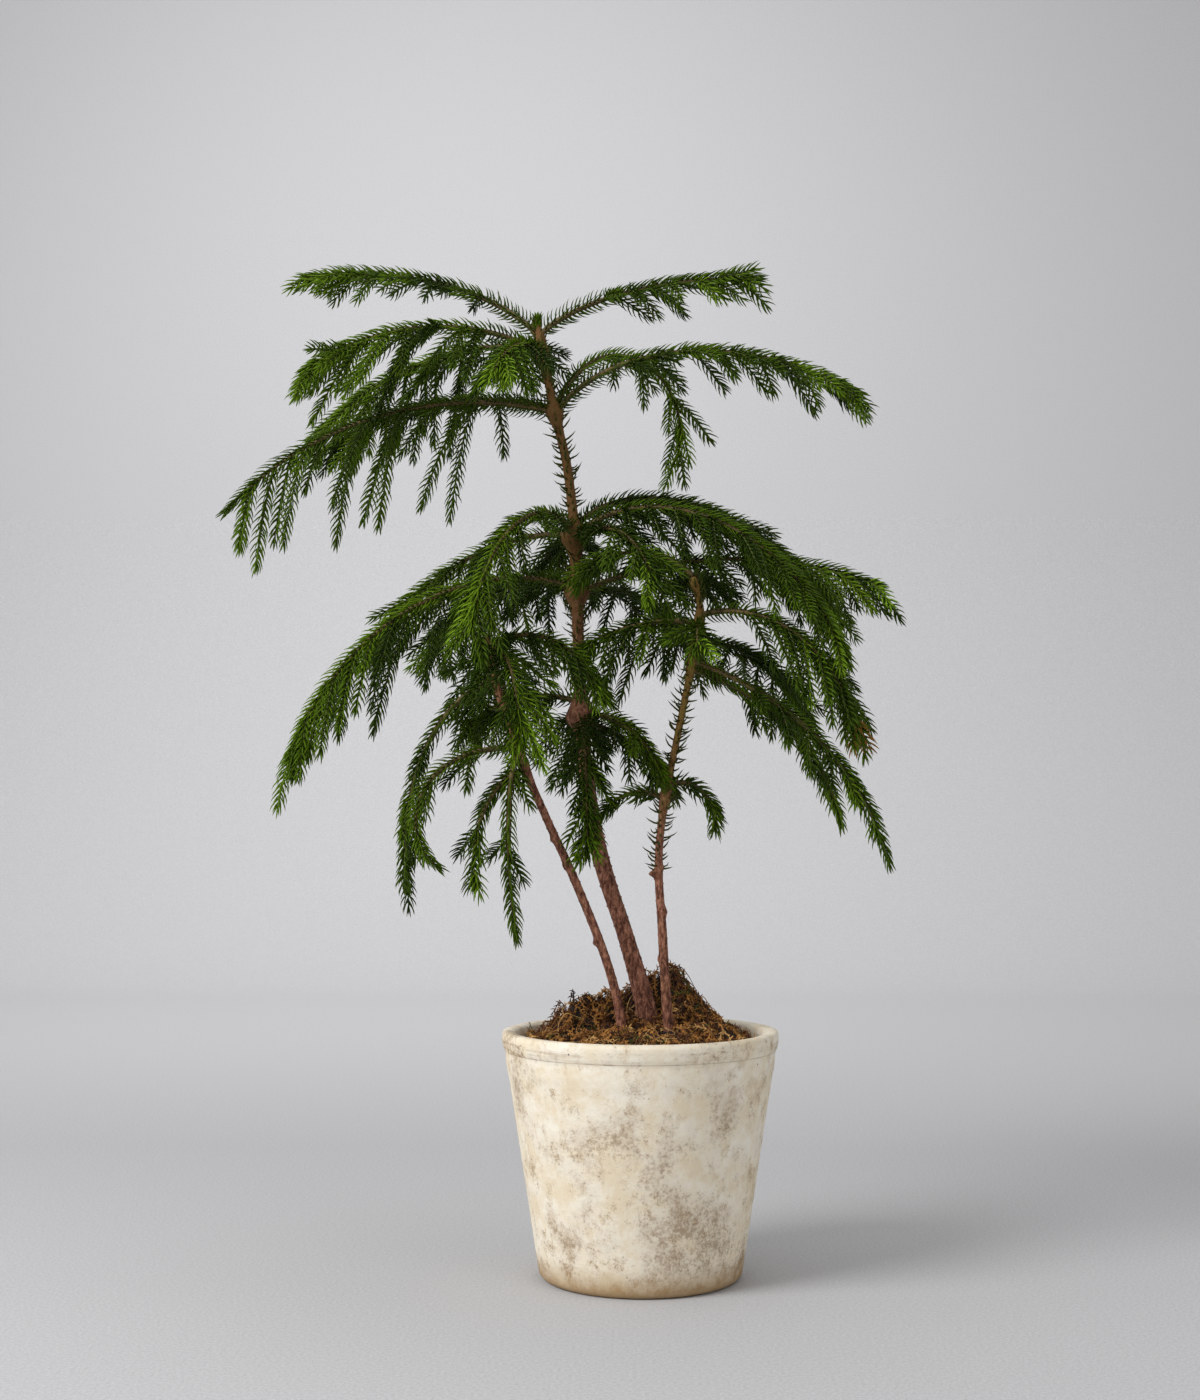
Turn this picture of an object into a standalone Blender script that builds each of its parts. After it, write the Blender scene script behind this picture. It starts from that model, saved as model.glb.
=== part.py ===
"""A potted Norfolk Island pine: three leaning stems with whorls of drooping boughs, in a clay pot.

The origin is the centre of the pot's flat underside, +Z is up and the front of the plant faces -Y.
Lengths in the tables are millimetres and angles are degrees. A heading is counted from +X towards +Y.
"""

import math
from collections import namedtuple

import bmesh
import bpy
import numpy as np

MM = 0.001
SEED = 24
GAP = 0.3
SEAT = 0.12  # between round shapes, whose flat facets lie a little further apart
WELD = 0.002

# Pot
POT_HEIGHT = 132.0
POT_RADIUS = 75.2
POT_FOOT_RADIUS = 54.4
POT_WALL = 8.6
POT_FLOOR = 10.0
POT_FLOOR_CORNER = 4.0
POT_FOOT_ROUND = 5.0
POT_LIP_ROUND = 2.3
POT_BAND_HEIGHT = 10.5
POT_BAND_PROUD = 0.55
POT_CREASE = 0.45
POT_CREASE_ABOVE = 3.0
POT_CREASE_BELOW = 4.0
POT_STEPS = 28

# Moss and soil
SOIL_EDGE_HEIGHT = 123.0
SOIL_DOME = 9.0
SOIL_LIFT = 0.4
SOIL_INSET = 0.5
SOIL_RINGS = (0, 9, 18, 27, 36, 46, 56)
SOIL_STEPS = 24
MossPeak = namedtuple("MossPeak", "x y height spread")
MOSS_PEAKS = (MossPeak(20, 16, 26, 10), MossPeak(2, 21, 18, 12), MossPeak(-21, 14, 13, 12),
              MossPeak(-38, 5, 12, 9), MossPeak(41, 5, 9, 9), MossPeak(8, -38, 2.5, 13))
MOSS_SWELL = 0.9
MOSS_WAVES = (0.31, 0.27)

# Stems, as the bends that each one passes through from its foot to its tip
Bend = namedtuple("Bend", "x y z thickness")
STEMS = {
    "main": (Bend(8, 0, 118, 12.6), Bend(1, 0, 152, 10.4), Bend(-8.5, 1, 184, 8.8), Bend(-23, 3, 231, 8.8),
             Bend(-31, 5, 286, 7.2), Bend(-34, 6, 345, 6.4), Bend(-36, 5, 400, 5.8), Bend(-40, 3, 440, 5.0),
             Bend(-47, 2, 471, 4.6), Bend(-53, 1, 500, 4.0), Bend(-57, 0, 523, 2.6)),
    "left": (Bend(-8, -16, 118, 5.8), Bend(-12, -17, 148, 4.9), Bend(-20, -20, 176, 4.7),
             Bend(-35, -26, 214, 4.5), Bend(-49, -32, 245, 4.3), Bend(-62, -38, 275, 4.1),
             Bend(-70, -42, 298, 3.9), Bend(-77, -46, 322, 3.4), Bend(-81, -48, 342, 2.4)),
    "right": (Bend(17, -10, 118, 6.0), Bend(14, -12, 150, 5.2), Bend(12, -15, 185, 4.8),
              Bend(10, -19, 222, 4.3), Bend(13, -24, 255, 3.9), Bend(20, -30, 290, 3.6),
              Bend(27, -35, 325, 3.4), Bend(32, -38, 356, 3.2), Bend(28, -39, 375, 2.6)),
}
STEM_SAMPLES = 20
STEM_FINE = 481
SOCKET_SAMPLES = 6
SOCKET_GAP = 0.45

# Boughs. Each leaves its stem at a height and a heading, and its angle to the level goes from rise at
# the stem to fall at the tip, early where bend is small. The limb is its bare length. Its side shoots
# start at the first length, grow to the shoot length at a share longest_at, and turn down by hang.
Bough = namedtuple("Bough", "stem height heading length rise fall bend limb first shoot longest_at hang")
BOUGHS = {
    "top_right": Bough("main", 515, -9, 129, 57, -4, 0.36, 40, 42, 27, 0.50, 0.8),
    "top_left": Bough("main", 514, 168, 152, 56, -3, 0.52, 40, 42, 26, 0.50, 0.5),
    "top_fore_left": Bough("main", 505, 206, 146, 26, -38, 0.80, 34, 36, 50, 0.42, 1.3),
    "top_fore": Bough("main", 503, 250, 74, 16, -50, 0.90, 0, 14, 34, 0.42, 1.0),
    "top_back_left": Bough("main", 507, 156, 162, 18, -40, 0.80, 34, 36, 50, 0.46, 1.4),
    "top_back": Bough("main", 505, 105, 92, 34, -20, 0.80, 0, 14, 28, 0.42, 0.7),
    "upper_left": Bough("main", 472, 186, 200, 13, -49, 1.00, 40, 42, 68, 0.38, 3.4),
    "upper_right": Bough("main", 470, -13, 186, 74, -32, 0.46, 46, 50, 30, 0.60, 0.8),
    "upper_back_left": Bough("main", 474, 150, 165, 20, -22, 0.90, 40, 44, 40, 0.42, 1.4),
    "upper_back_right": Bough("main", 474, 42, 150, 60, -115, 1.40, 30, 50, 28, 0.62, 0.7),
    "middle_fore_right": Bough("main", 401, -26, 196, 60, -64, 0.50, 0, 22, 46, 0.42, 0.9),
    "middle_back_right": Bough("main", 406, 25, 200, 77, -52, 0.42, 0, 26, 44, 0.45, 0.8),
    "middle_left": Bough("main", 403, 168, 136, 16, -51, 0.62, 0, 40, 34, 0.60, 1.1),
    "middle_fore_left": Bough("main", 404, 241, 138, 46, -76, 0.60, 0, 30, 34, 0.60, 0.8),
    "middle_back": Bough("main", 398, 98, 120, 30, -40, 0.90, 0, 14, 40, 0.42, 1.2),
    "middle_fore": Bough("main", 398, 300, 104, 30, -60, 0.80, 0, 20, 32, 0.50, 0.9),
    "lower_left": Bough("main", 373, 197, 205, 26, -70, 0.69, 30, 32, 52, 0.44, 1.9),
    "lower_right": Bough("main", 371, -6, 172, 25, -22, 0.93, 28, 36, 40, 0.50, 0.9),
    "lower_back_left": Bough("main", 375, 132, 150, 24, -46, 0.90, 0, 16, 44, 0.42, 1.2),
    "lower_back_right": Bough("main", 369, 58, 140, 24, -46, 0.90, 0, 30, 42, 0.42, 1.2),
    "inner_right": Bough("main", 304, -42, 74, 4, -62, 0.90, 0, 12, 28, 0.36, 1.0),
    "inner_fore": Bough("main", 303, 276, 92, -10, -88, 0.50, 0, 12, 20, 0.42, 1.2),
    "inner_left": Bough("main", 310, 178, 66, 24, -40, 0.90, 0, 12, 34, 0.42, 1.0),
    "inner_back": Bough("main", 302, 96, 96, 12, -48, 0.90, 0, 14, 34, 0.42, 1.2),
    "inner_back_right": Bough("main", 300, 26, 72, -8, -58, 0.90, 0, 14, 26, 0.36, 1.2),
    "left_crown_left": Bough("left", 318, 180, 128, 16, -98, 0.38, 0, 12, 26, 0.80, 1.0),
    "left_crown_right": Bough("left", 336, 342, 70, 40, -62, 0.80, 0, 12, 36, 0.42, 0.9),
    "left_crown_fore": Bough("left", 334, 290, 88, 24, -84, 0.70, 0, 10, 34, 0.42, 1.0),
    "left_crown_back": Bough("left", 330, 98, 82, 20, -50, 0.80, 0, 12, 32, 0.42, 1.2),
    "left_spur_left": Bough("left", 284, 203, 104, -2, -150, 1.60, 0, 16, 28, 0.30, 0.9),
    "left_spur_fore": Bough("left", 272, 218, 76, 0, -100, 0.60, 0, 14, 24, 0.42, 0.9),
    "left_spur_low": Bough("left", 282, 254, 106, -20, -116, 0.38, 0, 14, 17, 0.18, 0.8),
    "right_upper_right": Bough("right", 354, -28, 122, 17, -78, 0.80, 26, 28, 46, 0.36, 1.1),
    "right_upper_left": Bough("right", 350, 196, 66, 8, -30, 0.90, 0, 12, 34, 0.42, 1.6),
    "right_upper_fore": Bough("right", 346, 268, 52, 16, -50, 0.90, 0, 12, 22, 0.42, 1.2),
    "right_lower_right": Bough("right", 330, -29, 160, -19, -74, 1.20, 26, 40, 24, 0.30, 1.2),
    "right_lower_side": Bough("right", 326, 3, 122, -18, -79, 1.15, 0, 32, 22, 0.30, 1.2),
    "right_lower_back": Bough("right", 338, 44, 96, 14, -50, 0.90, 0, 14, 38, 0.42, 1.1),
    "right_spur_left": Bough("right", 256, 172, 42, 50, -60, 0.70, 0, 10, 12, 0.42, 0.6),
    "right_spur_right": Bough("right", 263, -6, 44, 46, -104, 0.70, 0, 10, 13, 0.42, 0.6),
    "right_crown_left": Bough("right", 375, 172, 66, 56, -30, 0.70, 0, 14, 28, 0.50, 0.8),
    "right_crown_back": Bough("right", 370, 84, 64, 40, -24, 0.70, 0, 12, 28, 0.42, 0.8),
}
LIMB_RADIUS = (1.6, 1.2)
TWIG_RADIUS = (1.7, 1.3)

TWIG_STEP = 16.0
TIP_FROM = 0.70
TIP_OVERLAP = 0.03
CLEAR_STEP = 0.002
CLEAR_AHEAD = 0.02

# Side shoots
SHOOT_SPACING = 34.0
FIRST_SHOOT = 16.0
SHOOT_AFTER_LIMB = 9.0
LAST_SHOOT = 0.86
LEAN_AT_STEM = 60.0
LEAN_AT_TIP = 34.0
FALLOFF = 0.75
SPREAD = 0.62
SHORTER_TRIES = (1.0, 0.75, 0.5)
SHORTEST_SHOOT = 9.0
SPOT_DRIFT = 0.012
LEAN_DRIFT = 5.0
LENGTH_DRIFT = 0.08
HANG_DRIFT = 0.15
NEEDLE_REACH = 7.2
CORE_RADIUS = 1.9
POINT_RADIUS = 0.5
ROOT_SHARE = 0.25
TIER_LENGTH = 17.0
MOST_TIERS = 3
TOOTH_WIDEST = 0.84
TIER_SHRINK = 0.12

# Room between neighbours
ROOM = 0.8
STEM_SPOTS = 90
LIMB_SPOTS = 12


def unit(vector):
    return vector / np.linalg.norm(vector)


def smooth(rows, count):
    """Samples of the smooth curve through every row, spread evenly over the rows."""
    rows = np.asarray(rows, float)
    ends = np.vstack([2 * rows[0] - rows[1], rows, 2 * rows[-1] - rows[-2]])
    place = np.linspace(0, len(rows) - 1, count)
    index = np.minimum(place.astype(int), len(rows) - 2)
    t = (place - index)[:, None]
    a, b, c, d = (ends[index + k] for k in range(4))
    squared = (2 * a - 5 * b + 4 * c - d) * t ** 2
    cubed = (3 * b - 3 * c + d - a) * t ** 3
    return 0.5 * (2 * b + (c - a) * t + squared + cubed)


def stem_line(name, count=STEM_SAMPLES):
    """Rows of x, y, z and radius along a stem."""
    line = smooth(STEMS[name], count)
    line[:, 3] /= 2
    return line


def stem_at(name, height):
    line = stem_line(name, STEM_FINE)
    return np.array([np.interp(height, line[:, 2], line[:, k]) for k in range(4)])


def along(line, places):
    """Points at the given shares of a line's length."""
    scale = np.linspace(0, 1, len(line))
    return np.stack([np.interp(places, scale, line[:, k]) for k in range(3)], axis=1)


def bough_line(bough, count=41):
    """The arching centre line of a bough, from the axis of its stem."""
    share = (np.arange(count - 1) + 0.5) / (count - 1)
    rise = np.radians(bough.rise + (bough.fall - bough.rise) * share ** bough.bend)
    heading = math.radians(bough.heading)
    level = np.cos(rise)
    steps = np.stack([level * math.cos(heading), level * math.sin(heading), np.sin(rise)], axis=1)
    start = stem_at(bough.stem, bough.height)[:3]
    return np.vstack([start, start + np.cumsum(steps, axis=0) * bough.length / (count - 1)])


def clear_start(bough, line, radius):
    """The share of the line at which an end of this radius is clear of the stem's side or tip."""
    stem = stem_line(bough.stem, STEM_FINE)
    nearest = np.argmin(np.abs(stem[:, 2] - bough.height))
    if nearest == STEM_FINE - 1:
        axis = unit(stem[-1, :3] - stem[-9, :3])
        cosine = float(unit(line[1] - line[0]) @ axis)
        return (GAP + radius * math.sqrt(1 - cosine ** 2)) / cosine / bough.length
    turns = np.linspace(0, 2 * math.pi, 12, endpoint=False)[:, None]
    for share in np.arange(0, 0.5, CLEAR_STEP):
        centre, ahead = along(line, [share, share + CLEAR_AHEAD])
        forward = unit(ahead - centre)
        across = unit(np.cross(forward, (0.0, 0.0, 1.0)))
        upward = np.cross(across, forward)
        ring = centre + radius * (np.cos(turns) * across + np.sin(turns) * upward)
        apart = np.linalg.norm(ring[:, None] - stem[None, :, :3], axis=2) - stem[None, :, 3]
        if apart.min() >= SEAT:
            break
    return share


def shoot_line(line, place, side, length, hang, lean, count=9):
    """A side shoot: it leans out from the bough and turns down along its length."""
    x = place * (len(line) - 1)
    i = min(int(x), len(line) - 2)
    start = line[i] + (line[i + 1] - line[i]) * (x - i)
    forward = unit(line[i + 1] - line[i])
    across = unit(np.cross(forward, (0.0, 0.0, 1.0))) * side
    out = forward * math.cos(lean) + across * math.sin(lean)
    share = ((np.arange(count - 1) + 0.5) / (count - 1))[:, None]
    steps = out + np.array((0.0, 0.0, -1.0)) * hang * np.sqrt(share)
    steps /= np.linalg.norm(steps, axis=1)[:, None]
    return np.vstack([start, start + np.cumsum(steps, axis=0) * length / (count - 1)])


def shoot_length(bough, place):
    """The longest shoots grow at the share longest_at, and they shorten on both sides of it."""
    return bough.shoot * (1 - FALLOFF * ((place - bough.longest_at) / SPREAD) ** 2)


def toothed(line, tiers):
    """Rows of x, y, z and radius: each tier of needles widens towards the tip and steps in again."""
    places = [0.0]
    radii = [CORE_RADIUS]
    for tier in range(tiers):
        places.append((tier + TOOTH_WIDEST) / tiers)
        radii.append(NEEDLE_REACH * (1 - TIER_SHRINK * tier))
        places.append((tier + 1.0) / tiers)
        radii.append(CORE_RADIUS)
    radii[-1] = POINT_RADIUS
    return np.column_stack([along(line, places), radii])


def reach_of(line):
    """Sample rows of x, y, z and reach, narrow at the root, to test a shoot's room with."""
    places = np.linspace(0, 1, 9)
    reach = np.where(places < ROOT_SHARE, CORE_RADIUS, NEEDLE_REACH)
    return np.column_stack([along(line, places), reach])


def has_room(samples, taken, owner):
    for other, spots in taken:
        if other == owner:
            continue
        apart = np.linalg.norm(samples[:, None, :3] - spots[None, :, :3], axis=2)
        if np.any(apart < samples[:, None, 3] + spots[None, :, 3] + ROOM):
            return False
    return True


def tube(name, lines, sides, home, section=None):
    """A curve object that runs a tube of changing radius along each line."""
    curve = bpy.data.curves.new(name, "CURVE")
    curve.dimensions = "3D"
    curve.bevel_resolution = sides // 2 - 2
    curve.bevel_depth = MM
    if section:
        curve.bevel_mode = "OBJECT"
        curve.bevel_object = section
    curve.use_fill_caps = True
    for line in lines:
        spline = curve.splines.new("POLY")
        spline.points.add(len(line) - 1)
        for point, (x, y, z, radius) in zip(spline.points, line):
            point.co = (x * MM, y * MM, z * MM, 1.0)
            point.radius = radius
        spline.use_smooth = True
    thing = bpy.data.objects.new(name, curve)
    home.objects.link(thing)
    return thing


def as_mesh(thing, home):
    """The object's evaluated shape as a welded mesh object that takes its place and name."""
    bpy.context.view_layer.update()
    graph = bpy.context.evaluated_depsgraph_get()
    mesh = bpy.data.meshes.new_from_object(thing.evaluated_get(graph))
    shape = bmesh.new()
    shape.from_mesh(mesh)
    bmesh.ops.remove_doubles(shape, verts=shape.verts, dist=WELD * MM)
    shape.to_mesh(mesh)
    shape.free()
    solid = bpy.data.objects.new(thing.name, mesh)
    solid.matrix_world = thing.matrix_world
    name = thing.name
    bpy.data.objects.remove(thing)
    solid.name = name
    home.objects.link(solid)
    return solid


def guide(thing):
    thing.hide_render = True
    thing.display_type = "WIRE"
    return thing


def tooth_section(home):
    """The three-cornered section of a shoot, one millimetre from centre to corner."""
    curve = bpy.data.curves.new("tooth_section", "CURVE")
    curve.dimensions = "2D"
    spline = curve.splines.new("POLY")
    spline.points.add(2)
    for corner, point in enumerate(spline.points):
        angle = math.radians(90 - 120 * corner)
        point.co = (math.cos(angle) * MM, math.sin(angle) * MM, 0.0, 1.0)
    spline.use_cyclic_u = True
    thing = bpy.data.objects.new("tooth_section", curve)
    home.objects.link(thing)
    return guide(thing)


def material(name, colour, roughness):
    made = bpy.data.materials.new(name)
    made.use_nodes = True
    surface = made.node_tree.nodes["Principled BSDF"]
    surface.inputs["Base Color"].default_value = (*colour, 1.0)
    surface.inputs["Roughness"].default_value = roughness
    surface.inputs["Metallic"].default_value = 0.0
    return made


def inner_radius(height):
    """Radius of the pot's inner wall, which leans with the outer one."""
    lean = (POT_RADIUS - POT_FOOT_RADIUS) / POT_HEIGHT
    return POT_FOOT_RADIUS - POT_WALL + lean * height


def outer_radius(height):
    return inner_radius(height) + POT_WALL


def arc(x, z, radius, start, end, count):
    """Points of an arc in the profile plane, with angles counted from +X towards +Z."""
    angles = np.radians(np.linspace(start, end, count))
    return [(x + radius * math.cos(a), z + radius * math.sin(a)) for a in angles]


def pot_profile():
    """From the middle of the inside floor, up the inner wall, over the rim and down to the underside."""
    lip = POT_LIP_ROUND
    corner = POT_FLOOR + POT_FLOOR_CORNER
    band = POT_HEIGHT - POT_BAND_HEIGHT
    above = band + POT_CREASE_ABOVE
    below = band - POT_CREASE_BELOW
    profile = [(0, POT_FLOOR), (inner_radius(POT_FLOOR) - POT_FLOOR_CORNER, POT_FLOOR)]
    profile.append((inner_radius(corner), corner))
    profile += arc(POT_RADIUS - POT_WALL + lip, POT_HEIGHT - lip, lip, 180, 90, 4)
    profile += arc(POT_RADIUS - lip, POT_HEIGHT - lip, lip, 90, 0, 4)
    profile.append((outer_radius(above) + POT_BAND_PROUD, above))
    profile.append((outer_radius(band) - POT_CREASE, band))
    profile.append((outer_radius(below), below))
    turn = POT_FOOT_ROUND
    profile += arc(outer_radius(turn) - turn, turn, turn, 0, -90, 4)
    profile.append((0, 0))
    return profile


def turned(name, profile, steps, home):
    """A profile in the XZ plane turned once round the Z axis."""
    mesh = bpy.data.meshes.new(name)
    points = [(x * MM, 0.0, z * MM) for x, z in profile]
    mesh.from_pydata(points, [(i, i + 1) for i in range(len(points) - 1)], [])
    thing = bpy.data.objects.new(name, mesh)
    home.objects.link(thing)
    screw = thing.modifiers.new("Turn", "SCREW")
    screw.steps = steps
    screw.render_steps = steps
    screw.use_merge_vertices = True
    screw.merge_threshold = 0.0001
    screw.use_smooth_shade = True
    return thing


def moss_height(x, y):
    """Height of the moss: a low dome with a few tufts and small swells."""
    edge = inner_radius(SOIL_EDGE_HEIGHT)
    height = SOIL_EDGE_HEIGHT + SOIL_DOME * (1 - (x ** 2 + y ** 2) / edge ** 2)
    for peak in MOSS_PEAKS:
        height += peak.height * np.exp(-((x - peak.x) ** 2 + (y - peak.y) ** 2) / (2 * peak.spread ** 2))
    return height + MOSS_SWELL * np.sin(MOSS_WAVES[0] * x) * np.cos(MOSS_WAVES[1] * y)


def make_soil(home, cutters):
    """A plug that fills the pot, with a mossy mound on top and a socket for each stem."""
    low = POT_FLOOR + SOIL_LIFT
    corner = low + POT_FLOOR_CORNER
    profile = [(ring, SOIL_EDGE_HEIGHT) for ring in SOIL_RINGS]
    profile.append((inner_radius(SOIL_EDGE_HEIGHT) - SOIL_INSET, SOIL_EDGE_HEIGHT))
    profile.append((inner_radius(corner) - SOIL_INSET, corner))
    profile.append((inner_radius(POT_FLOOR) - POT_FLOOR_CORNER - SOIL_INSET, low))
    profile.append((0, low))
    soil = as_mesh(turned("moss_and_soil", profile, SOIL_STEPS, home), home)
    for vertex in soil.data.vertices:
        x, y, z = (value / MM for value in vertex.co)
        if z > SOIL_EDGE_HEIGHT - 1 and math.hypot(x, y) < SOIL_RINGS[-1] + 1:
            vertex.co.z = moss_height(x, y) * MM
    for name in STEMS:
        line = stem_line(name)[:SOCKET_SAMPLES]
        line[0, :3] -= unit(line[1, :3] - line[0, :3]) * SOCKET_GAP
        line[:, 3] += SOCKET_GAP
        socket = guide(as_mesh(tube("socket_" + name, [line], 8, cutters), cutters))
        cut = soil.modifiers.new("Socket " + name, "BOOLEAN")
        cut.operation = "DIFFERENCE"
        cut.solver = "EXACT"
        cut.object = socket
    return soil


def make_limb(name, bough, line, home):
    """The bare start of a bough, from just clear of its stem to where its foliage starts."""
    start = clear_start(bough, line, LIMB_RADIUS[0])
    places = np.linspace(start, bough.limb / bough.length, 5)
    radii = np.linspace(*LIMB_RADIUS, 5)
    return tube("limb_" + name, [np.column_stack([along(line, places), radii])], 6, home)


def twig_rows(bough, line):
    """The mass's own twig: it carries on from the limb's end or starts at the stem."""
    start = clear_start(bough, line, TWIG_RADIUS[0])
    if bough.limb:
        start = (bough.limb + GAP) / bough.length
    count = max(4, int(bough.length * (TIP_FROM - start) / TWIG_STEP) + 2)
    places = np.linspace(start, TIP_FROM + TIP_OVERLAP, count)
    return np.column_stack([along(line, places), np.linspace(*TWIG_RADIUS, count)])


def tip_line(line):
    return along(line, np.linspace(TIP_FROM, 1, 9))


def fitting_shoots(name, bough, line, taken, draw):
    """Pairs of side shoots, each a bit different, shortened or left out where a solid is in its way."""
    first = max(bough.first, bough.limb + SHOOT_AFTER_LIMB, FIRST_SHOOT) / bough.length
    pairs = max(2, round((LAST_SHOOT - first) * bough.length / SHOOT_SPACING) + 1)
    found = []
    for place in np.linspace(first, LAST_SHOOT, pairs):
        for side in (-1, 1):
            spot = max(first, place + SPOT_DRIFT * side * draw.uniform(0.5, 1.5))
            lean = LEAN_AT_STEM + (LEAN_AT_TIP - LEAN_AT_STEM) * place
            lean = math.radians(lean + draw.normal(0, LEAN_DRIFT))
            full = shoot_length(bough, place) * (1 + draw.normal(0, LENGTH_DRIFT))
            hang = bough.hang * (1 + draw.normal(0, HANG_DRIFT))
            for share in SHORTER_TRIES:
                shoot = shoot_line(line, spot, side, full * share, hang, lean)
                samples = reach_of(shoot)
                if full * share > SHORTEST_SHOOT and has_room(samples, taken, name):
                    found.append(shoot)
                    taken.append((name, samples))
                    break
    return found


def line_length(line):
    return float(np.linalg.norm(np.diff(line, axis=0), axis=1).sum())


def make_mass(name, bough, line, taken, draw, section, home, shoots_home):
    """One mass of foliage: a twig with a toothed tip and toothed side shoots, fused into one body."""
    shoots = [tip_line(line)] + fitting_shoots(name, bough, line, taken, draw)
    twig = as_mesh(tube("foliage_" + name, [twig_rows(bough, line)], 4, home), home)
    for number, shoot in enumerate(shoots):
        tiers = max(1, min(MOST_TIERS, round(line_length(shoot) / TIER_LENGTH)))
        rope = tube("shoot_%d" % number, [toothed(shoot, tiers)], 4, shoots_home, section)
        as_mesh(rope, shoots_home)
    union = twig.modifiers.new("Fuse", "BOOLEAN")
    union.operation = "UNION"
    union.operand_type = "COLLECTION"
    union.collection = shoots_home
    union.solver = "EXACT"
    mass = as_mesh(twig, home)
    for shoot in list(shoots_home.objects):
        bpy.data.objects.remove(shoot)
    return mass


def main():
    for thing in list(bpy.data.objects):
        bpy.data.objects.remove(thing)
    scene = bpy.context.scene.collection
    home, cutters, guides, shoots_home = (
        bpy.data.collections.new(name) for name in ("norfolk_island_pine", "cutters", "guides", "shoots"))
    for part in (home, cutters, guides, shoots_home):
        scene.children.link(part)

    clay = material("pale_clay", (0.62, 0.56, 0.46), 0.85)
    moss = material("brown_moss", (0.16, 0.09, 0.04), 0.95)
    bark = material("reddish_bark", (0.16, 0.085, 0.06), 0.85)
    green_bark = material("green_bark", (0.14, 0.12, 0.04), 0.8)
    needles = material("green_needles", (0.03, 0.11, 0.015), 0.6)

    turned("pot", pot_profile(), POT_STEPS, home).data.materials.append(clay)
    make_soil(home, cutters).data.materials.append(moss)
    taken = []
    for name in STEMS:
        line = stem_line(name)
        tube("stem_" + name, [line], 8, home).data.materials.append(bark)
        taken.append(("stem_" + name, stem_line(name, STEM_SPOTS)))

    lines = {name: bough_line(bough) for name, bough in BOUGHS.items()}
    for name, bough in BOUGHS.items():
        if bough.limb:
            limb = make_limb(name, bough, lines[name], home)
            limb.data.materials.append(green_bark)
            bare = along(lines[name], np.linspace(0.1, bough.limb / bough.length, LIMB_SPOTS))
            taken.append(("limb_" + name, np.column_stack([bare, np.full(LIMB_SPOTS, LIMB_RADIUS[0])])))
        rows = twig_rows(bough, lines[name])
        taken.append((name, rows))
        taken.append((name, reach_of(tip_line(lines[name]))))

    section = tooth_section(guides)
    draw = np.random.default_rng(SEED)
    for name, bough in BOUGHS.items():
        mass = make_mass(name, bough, lines[name], taken, draw, section, home, shoots_home)
        mass.data.materials.append(needles)
    bpy.data.objects.remove(section)


main()
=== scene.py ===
# Potted Norfolk Island pine: weathered clay pot, curly moss, three leaning stems and needled boughs.
# Tables are in millimetres and degrees, and headings are counted from +X towards +Y.
import math

import bpy
import numpy as np
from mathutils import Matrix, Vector


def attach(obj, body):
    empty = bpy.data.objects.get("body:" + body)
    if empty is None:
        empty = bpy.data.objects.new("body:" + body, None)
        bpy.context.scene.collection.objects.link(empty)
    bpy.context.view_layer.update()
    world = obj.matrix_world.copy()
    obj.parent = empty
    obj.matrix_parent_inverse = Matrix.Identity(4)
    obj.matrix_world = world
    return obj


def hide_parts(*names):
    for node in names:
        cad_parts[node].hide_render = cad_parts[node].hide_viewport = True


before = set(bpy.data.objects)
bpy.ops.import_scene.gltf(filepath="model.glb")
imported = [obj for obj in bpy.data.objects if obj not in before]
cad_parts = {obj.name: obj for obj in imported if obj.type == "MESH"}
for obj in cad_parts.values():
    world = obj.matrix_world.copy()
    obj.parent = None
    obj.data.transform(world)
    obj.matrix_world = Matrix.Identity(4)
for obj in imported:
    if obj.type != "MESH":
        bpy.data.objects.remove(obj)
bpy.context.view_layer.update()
mm = 0.001
goldenTurn = math.pi * (3 - math.sqrt(5))
draw = np.random.default_rng(24)
print("frame loaded:", len(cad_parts), "nodes")


# Meshes from arrays

def addObject(name, data):
    # a new object at the origin, linked into the scene
    thing = bpy.data.objects.new(name, data)
    bpy.context.scene.collection.objects.link(thing)
    return thing


def putMesh(name, points, triangles, finish):
    # whole arrays go straight into a new mesh, which then rides on the plant's one body
    mesh = bpy.data.meshes.new(name)
    count = len(triangles)
    mesh.vertices.add(len(points))
    mesh.vertices.foreach_set("co", np.asarray(points, np.float32).ravel())
    mesh.loops.add(3 * count)
    mesh.loops.foreach_set("vertex_index", np.asarray(triangles, np.int32).ravel())
    mesh.polygons.add(count)
    mesh.polygons.foreach_set("loop_start", np.arange(0, 3 * count, 3, dtype=np.int32))
    mesh.polygons.foreach_set("use_smooth", np.ones(count, dtype=bool))
    mesh.update(calc_edges=True)
    mesh.materials.append(finish)
    piece = addObject(name, mesh)
    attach(piece, "root")
    print("  %-24s %7d triangles" % (name, count))
    return piece


def gridTriangles(rows, columns):
    # two triangles for each cell of a grid whose columns close into a ring
    row, column = np.meshgrid(np.arange(rows - 1), np.arange(columns), indexing="ij")
    a = row * columns + column
    b = row * columns + (column + 1) % columns
    c, d = a + columns, b + columns
    return np.stack([a, b, d, a, d, c], axis=-1).reshape(-1, 3)


def fan(columns, first, flip):
    # a cap of triangles from the first corner of a ring
    k = np.arange(1, columns - 1)
    corners = [np.full(columns - 2, first), first + k + 1, first + k]
    return np.stack(corners[::-1] if flip else corners, axis=-1)


def closedGrid(rows, columns):
    # the grid with a cap on its first ring and one on its last
    ends = [fan(columns, 0, False), fan(columns, (rows - 1) * columns, True)]
    return np.vstack([gridTriangles(rows, columns)] + ends)


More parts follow.
